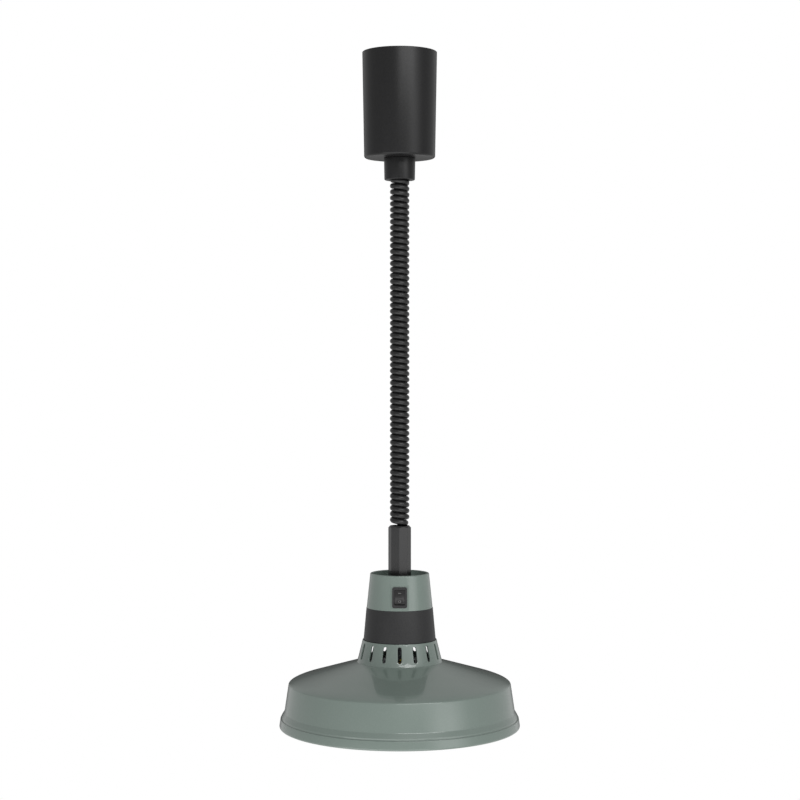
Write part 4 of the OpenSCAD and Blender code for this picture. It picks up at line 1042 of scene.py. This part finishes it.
class HEATLAMP_OT_reflector(LampPieceOperator, bpy.types.Operator):
    """Draw the reflector from its stadium-shaped opening to its rolled edge"""

    bl_idname = "heat_lamp.reflector"
    bl_label = "Reflector"

    def build(self, sizes):
        rim_r = high("shade").x
        corner_r, edge_r = rim_r - 15.2 * MM, rim_r - 8.2 * MM
        edge_z = low("reflector").z
        seat_w, fit = 3 * MM, 0.2 * MM
        frame_l = high("lamp_frame").x - seat_w
        frame_r = high("lamp_frame").y - seat_w
        hole_r = frame_r + fit
        straight = frame_l - frame_r
        slope = 0.22
        end_z = low("lamp_plate").z + 2.1 * MM
        thickness = 0.8 * MM

        def cone(radius):
            return end_z - slope * (radius - frame_l)

        even_r = 100 * MM
        profile = rounded([
            (even_r, cone(even_r), 0),
            (corner_r, cone(corner_r), 4 * MM),
            (edge_r, edge_z, 0.6 * MM),
            (edge_r + 4.2 * MM, edge_z, 0),
        ], 10)

        def hole(angle):
            """Distance from the axis to the stadium's edge in a direction."""
            c, s = abs(math.cos(angle)), abs(math.sin(angle))
            if s > MERGE and hole_r * c / s <= straight:
                return hole_r / s
            return straight * c + math.sqrt(hole_r ** 2 - (straight * s) ** 2)

        around = 192
        angles = [2 * math.pi * k / around for k in range(around)]

        def ring(radius_at, height_at):
            return [Vector((radius_at(a) * math.cos(a), radius_at(a) * math.sin(a), height_at(a)))
                    for a in angles]

        bm = bmesh.new()
        layers = 6
        verts = None
        for layer in range(layers + 1):
            share = layer / layers

            def reach(a):
                return hole(a) + (profile[0].x - hole(a)) * share

            points = ring(reach, lambda a: cone(reach(a)))
            verts = ring_of_points(bm, points) if verts is None else next_ring(bm, verts, points)
        for point in profile[1:]:
            verts = next_ring(bm, verts, ring(lambda a: point.x, lambda a: point.y))
        bmesh.ops.recalc_face_normals(bm, faces=bm.faces[:])
        sample = min(bm.faces, key=lambda f: f.calc_center_median().length)
        if sample.normal.z > 0:
            bmesh.ops.reverse_faces(bm, faces=bm.faces[:])
        piece = add_piece(bm, "mirror_reflector", finish("chrome"), "lamp_head", ["reflector"],
                          sharp=math.radians(60))
        wall = piece.modifiers.new("Sheet", "SOLIDIFY")
        wall.thickness = thickness
        wall.offset = -1


class HEATLAMP_OT_lamp_frame(LampPieceOperator, bpy.types.Operator):
    """Sweep the double-ridged frame round its stadium track"""

    bl_idname = "heat_lamp.lamp_frame"
    bl_label = "Lamp Frame"

    def build(self, sizes):
        lip = 3 * MM
        outer_r = high("lamp_frame").y - lip
        straight = high("lamp_frame").x - high("lamp_frame").y
        top = high("lamp_frame").z
        floor = low("lamp_plate").z
        sheet, flange_t, fold = 1.2 * MM, 1 * MM, 0.55 * MM
        ridge, ridge_t, seat_w = 8.5 * MM, 1.3 * MM, 3 * MM
        inner_r = outer_r - ridge
        seat_r = inner_r - ridge_t - seat_w
        z_low = low("lamp_frame").z
        outer_low = z_low + 0.2 * MM
        half_tray = 0.5 * MM
        outline = rounded([
            (outer_r + lip, top, 0.3 * MM),
            (outer_r + lip, top - flange_t, 0.4 * MM),
            (outer_r, top - flange_t, 0.5 * MM),
            (outer_r, outer_low, fold),
            (outer_r - sheet, outer_low, fold),
            (outer_r - sheet - 0.2 * MM, floor - half_tray, 0.4 * MM),
            (inner_r, floor - half_tray, 0.4 * MM),
            (inner_r, z_low, fold),
            (inner_r - ridge_t, z_low, fold),
            (inner_r - ridge_t, floor + flange_t, 0),
            (seat_r, floor + flange_t, 0.2 * MM),
            (seat_r, floor + 2 * flange_t, 0.2 * MM),
            (inner_r, floor + 2 * flange_t, 0.2 * MM),
            (inner_r, floor + half_tray, 0.2 * MM),
            (outer_r - sheet, floor + half_tray, 0.4 * MM),
            (outer_r - sheet, top, 0.4 * MM),
        ], 4)
        add_piece(swept_round(stadium_track(straight), outline), "stadium_bezel",
                  finish("chrome"), "lamp_head", ["lamp_frame"])


class HEATLAMP_OT_guard(LampPieceOperator, bpy.types.Operator):
    """Bend the guard wires across the lamp window"""

    bl_idname = "heat_lamp.guard"
    bl_label = "Guard Wires"

    def build(self, sizes):
        radius = sizes.guard_diameter / 2
        reach_x = high("guard_wires").x - 2 * MM
        reach_y = high("guard_wires").y - 2 * MM
        top = high("guard_wires").z - 0.2 * MM
        bottom = low("guard_wires").z + radius
        bend, bend_steps, across_steps = 5 * MM, 10, 12
        bend_end = bend_steps + 2
        bm = bmesh.new()
        for i in range(sizes.guard_wires):
            x = -reach_x + 2 * reach_x * i / (sizes.guard_wires - 1)
            line = rounded([
                (-reach_y, top, 0), (-reach_y, bottom, bend), (reach_y, bottom, bend),
                (reach_y, top, 0)], bend_steps)
            path = [Vector((x, p.x, p.y)) for p in line]
            across = [path[bend_end - 1].lerp(path[bend_end], k / across_steps)
                      for k in range(1, across_steps)]
            tube(path[:bend_end] + across + path[bend_end:], radius, 16, bm)
        add_piece(bm, "wire_guard", finish("chrome"), "lamp_head", ["guard_wires"])


class HEATLAMP_OT_lamp_unit(LampPieceOperator, bpy.types.Operator):
    """Finish the lamp plate, the trough, the holders, the caps and the screws"""

    bl_idname = "heat_lamp.lamp_unit"
    bl_label = "Lamp Unit"

    def build(self, sizes):
        rounding = {
            "lamp_plate": 0.2 * MM, "lamp_trough": 0.2 * MM, "plate_screws": 0.5 * MM,
            "lamp_caps": 0.7 * MM, "lamp_holders": 0.5 * MM, "contact_plunger": 0.25 * MM,
            "fixed_contact": 0.25 * MM, "lamp_bracket": 0.2 * MM, "holder_tabs": 0.15 * MM,
            "holder_screws": 0.3 * MM,
        }
        wide = 0.4 * MM
        for node, width in rounding.items():
            add_piece(refined(node, width, 3 if width > wide else 2), f"{node}_finished",
                      finish(SLOT_OF[node]), BODY_OF[node], [node], weighted=True)


class HEATLAMP_OT_lamp(LampPieceOperator, bpy.types.Operator):
    """Draw the quartz tube and wind the filament inside it"""

    bl_idname = "heat_lamp.lamp"
    bl_label = "Quartz Lamp"

    def build(self, sizes):
        half = high("quartz_tube").x
        radius = high("quartz_tube").y
        wall = 1.2 * MM
        height = (high("quartz_tube").z + low("quartz_tube").z) / 2
        turn = Matrix.Translation((0, 0, height)) @ Matrix.Rotation(math.pi / 2, 4, "Y")
        inner = half - 2 * MM
        hole_r = 0.7 * MM
        walls = rounded([
            (hole_r, -half, 0.2 * MM), (radius, -half, 1.5 * MM), (radius, half, 1.5 * MM),
            (hole_r, half, 0.2 * MM), (hole_r, inner, 0.1 * MM),
            (radius - wall, inner, 1.2 * MM), (radius - wall, -inner, 1.2 * MM),
            (hole_r, -inner, 0.1 * MM),
        ])
        glass = spun(walls, 64)
        bmesh.ops.transform(glass, matrix=turn, verts=glass.verts[:])
        add_piece(glass, "quartz_envelope", finish("quartz"), "lamp_head", ["quartz_tube"])

        coil_half = half - 6 * MM
        turns, winding_r, wire_r, lead_r = 44, 0.85 * MM, 0.15 * MM, 0.55 * MM
        winding = helix((-coil_half, 0, height), (1, 0, 0), winding_r, turns, 2 * coil_half, 10)
        bm = tube(winding, wire_r, 6)
        for side in (-1, 1):
            lead = [Vector((side * x, 0, height)) for x in (coil_half, inner, half + 0.2 * MM)]
            tube(lead, lead_r, 10, bm)
        ends = {1: high("lamp_conductor").x, -1: low("lamp_conductor").x}
        pin_r = 1.5 * MM
        for side, end in ends.items():
            start = side * (half + 0.25 * MM)
            pin = spun(rounded([
                (0, start, 0), (pin_r, start, 0.2 * MM), (pin_r, end, 0.9 * MM), (0, end, 0)]), 32)
            bmesh.ops.transform(pin, matrix=turn, verts=pin.verts[:])
            made = bpy.data.meshes.new("pin")
            pin.to_mesh(made)
            pin.free()
            bm.from_mesh(made)
            bpy.data.meshes.remove(made)
        add_piece(bm, "filament_and_pins", finish("tungsten"), "lamp_head", ["lamp_conductor"])


class HEATLAMP_OT_spring(LampPieceOperator, bpy.types.Operator):
    """Wind the contact's spring between its holder and its cup"""

    bl_idname = "heat_lamp.spring"
    bl_label = "Contact Spring"

    def build(self, sizes):
        wire_r = 0.45 * MM
        start, end = low("contact_spring").x + wire_r, high("contact_spring").x - wire_r
        radius = high("contact_spring").y - wire_r
        height = (high("contact_spring").z + low("contact_spring").z) / 2
        turns = 7
        path = helix((start, 0, height), (1, 0, 0), radius, turns, end - start, 20)
        bm = tube(path, wire_r, 10, along="along")
        piece = add_piece(bm, "wound_spring", finish("nickel_wire"), None,
                          ["contact_spring"])
        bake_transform(piece, "lamp_head", "sprung_contact", start=path[0], end=path[-1])
        open_evenly(piece)


class HEATLAMP_OT_inner_parts(LampPieceOperator, bpy.types.Operator):
    """Round the inner parts that show through openings and finish all the others"""

    bl_idname = "heat_lamp.inner_parts"
    bl_label = "Inner Parts"

    def build(self, sizes):
        rounding = {
            "mounting_bracket": 0.5 * MM, "terminal_block": 0.4 * MM, "top_cord_clamp": 0.4 * MM,
            "tie_screws": 0.4 * MM, "chassis_plate": 0.3 * MM, "collar_nut": 0.4 * MM,
            "top_clamp_screws": 0.3 * MM, "block_screw": 0.3 * MM, "earth_screw": 0.3 * MM,
        }
        for node, width in rounding.items():
            add_piece(refined(node, width), f"{node}_finished", finish(SLOT_OF[node]),
                      BODY_OF[node], [node], weighted=True)
        for node, piece in frame["nodes"].items():
            for slot in piece.material_slots:
                slot.material = finish(SLOT_OF[node])


class HEATLAMP_OT_stage(LampPieceOperator, bpy.types.Operator):
    """Set the camera, the soft lights and the pale floor"""

    bl_idname = "heat_lamp.stage"
    bl_label = "Stage"

    def build(self, sizes):
        scene = bpy.context.scene
        scene.view_settings.view_transform = "Standard"
        camera = bpy.data.cameras.new("camera")
        camera.lens = 79.86
        camera.sensor_width = 36
        camera.shift_y = -0.02
        viewer = bpy.data.objects.new("camera", camera)
        viewer.location = (0.0004, -2.0256, -0.3586)
        viewer.rotation_euler = (math.pi / 2 - math.radians(0.56), 0, 0)
        scene.collection.objects.link(viewer)
        scene.camera = viewer
        self.lights(scene)
        self.surroundings(scene)
        floor_r, floor_z = 18, -6.5
        floor = bmesh.new()
        bmesh.ops.create_circle(floor, cap_ends=True, segments=96, radius=floor_r)
        bmesh.ops.translate(floor, verts=floor.verts[:], vec=(0, 0, floor_z))
        mesh = bpy.data.meshes.new("floor")
        floor.to_mesh(mesh)
        floor.free()
        mesh.materials.append(coated(
            "pale_floor", (0.8, 0.8, 0.79), (0.6, 0.7), drift=0.02,
            Emission_Color=(1, 1, 1, 1), Emission_Strength=0.35))
        ground = bpy.data.objects.new("floor", mesh)
        scene.collection.objects.link(ground)

    def lights(self, scene):
        """Two large soft lights in front of the lamp, above it and below it."""
        middle = Vector((0, 0, -0.55))
        lights = (
            ("front_high", (1.3, -3.2, 1.35), (3.2, 1.2), 55),
            ("front_low", (-0.8, -3.0, -3.0), (7.0, 4.5), 108),
        )
        for name, place, size, power in lights:
            lamp = bpy.data.lights.new(name, "AREA")
            lamp.shape = "RECTANGLE"
            lamp.size, lamp.size_y = size
            lamp.energy = power
            holder = bpy.data.objects.new(name, lamp)
            holder.location = place
            holder.rotation_euler = (middle - Vector(place)).to_track_quat("-Z", "Y").to_euler()
            holder.visible_camera = False
            scene.collection.objects.link(holder)

    def surroundings(self, scene):
        """White backdrop, and in reflections a grey room with a tall soft light on the right."""
        world = bpy.data.worlds.new("studio")
        world.use_nodes = True
        tree = world.node_tree
        background = tree.nodes["Background"]
        place = tree.nodes.new("ShaderNodeTexCoord")
        split = tree.nodes.new("ShaderNodeSeparateXYZ")
        tree.links.new(place.outputs["Generated"], split.inputs["Vector"])
        backwards = maths(tree, "MULTIPLY", split.outputs["Y"], -1.0)
        heading = maths(tree, "ARCTAN2", split.outputs["X"], backwards)
        around = ramp(tree, ranged(tree, heading, -math.pi, math.pi, 0, 1), (
            (0.0, 0.05), (0.04, 0.08), (0.08, 0.55), (0.17, 0.5), (0.25, 0.45), (0.33, 0.52),
            (0.4, 0.5), (0.48, 0.42), (0.56, 0.4), (0.585, 0.9), (0.61, 1.6), (0.645, 1.8),
            (0.67, 1.2), (0.7, 0.5), (0.74, 0.42), (0.92, 0.6), (0.96, 0.08), (1.0, 0.05)))
        upper = ranged(tree, split.outputs["Z"], 0.15, 0.5, 0, 1)
        lower = ranged(tree, split.outputs["Z"], -0.1, -0.4, 0, 1)
        room = mixed(tree, upper, around, (0.42, 0.42, 0.42, 1))
        room = mixed(tree, lower, room, (0.6, 0.6, 0.6, 1))
        seen = tree.nodes.new("ShaderNodeLightPath")
        backdrop = mixed(tree, seen.outputs["Is Camera Ray"], room, (1, 1, 1, 1))
        tree.links.new(backdrop, background.inputs["Color"])
        scene.world = world


OPERATORS = (
    HEATLAMP_OT_stage,
    HEATLAMP_OT_cord,
    HEATLAMP_OT_canopy,
    HEATLAMP_OT_sleeve,
    HEATLAMP_OT_neck,
    HEATLAMP_OT_switch,
    HEATLAMP_OT_grip_band,
    HEATLAMP_OT_vent_collar,
    HEATLAMP_OT_shade,
    HEATLAMP_OT_reflector,
    HEATLAMP_OT_lamp_frame,
    HEATLAMP_OT_guard,
    HEATLAMP_OT_lamp_unit,
    HEATLAMP_OT_lamp,
    HEATLAMP_OT_spring,
    HEATLAMP_OT_inner_parts,
)


class HEATLAMP_PT_panel(bpy.types.Panel):
    """Sidebar panel that lists the sizes, the colours and the build steps"""

    bl_idname = "HEATLAMP_PT_panel"
    bl_label = "Heat Lamp"
    bl_space_type = "VIEW_3D"
    bl_region_type = "UI"
    bl_category = "Heat Lamp"

    def draw(self, context):
        for group in (context.scene.heat_lamp_sizes, context.scene.heat_lamp_colours):
            column = self.layout.column(align=True)
            for name in group.__annotations__:
                column.prop(group, name)
        column = self.layout.column(align=True)
        for operator in OPERATORS:
            column.operator(operator.bl_idname)


CLASSES = (HeatLampSizes, HeatLampColours, *OPERATORS, HEATLAMP_PT_panel)


def register():
    for cls in CLASSES:
        bpy.utils.register_class(cls)
    bpy.types.Scene.heat_lamp_sizes = bpy.props.PointerProperty(type=HeatLampSizes)
    bpy.types.Scene.heat_lamp_colours = bpy.props.PointerProperty(type=HeatLampColours)


def unregister():
    del bpy.types.Scene.heat_lamp_colours
    del bpy.types.Scene.heat_lamp_sizes
    for cls in reversed(CLASSES):
        bpy.utils.unregister_class(cls)


def main():
    register()
    for operator in OPERATORS:
        group, name = operator.bl_idname.split(".")
        if getattr(getattr(bpy.ops, group), name)() != {"FINISHED"}:
            raise RuntimeError(f"{operator.bl_label} didn't finish")


if __name__ == "__main__":
    main()
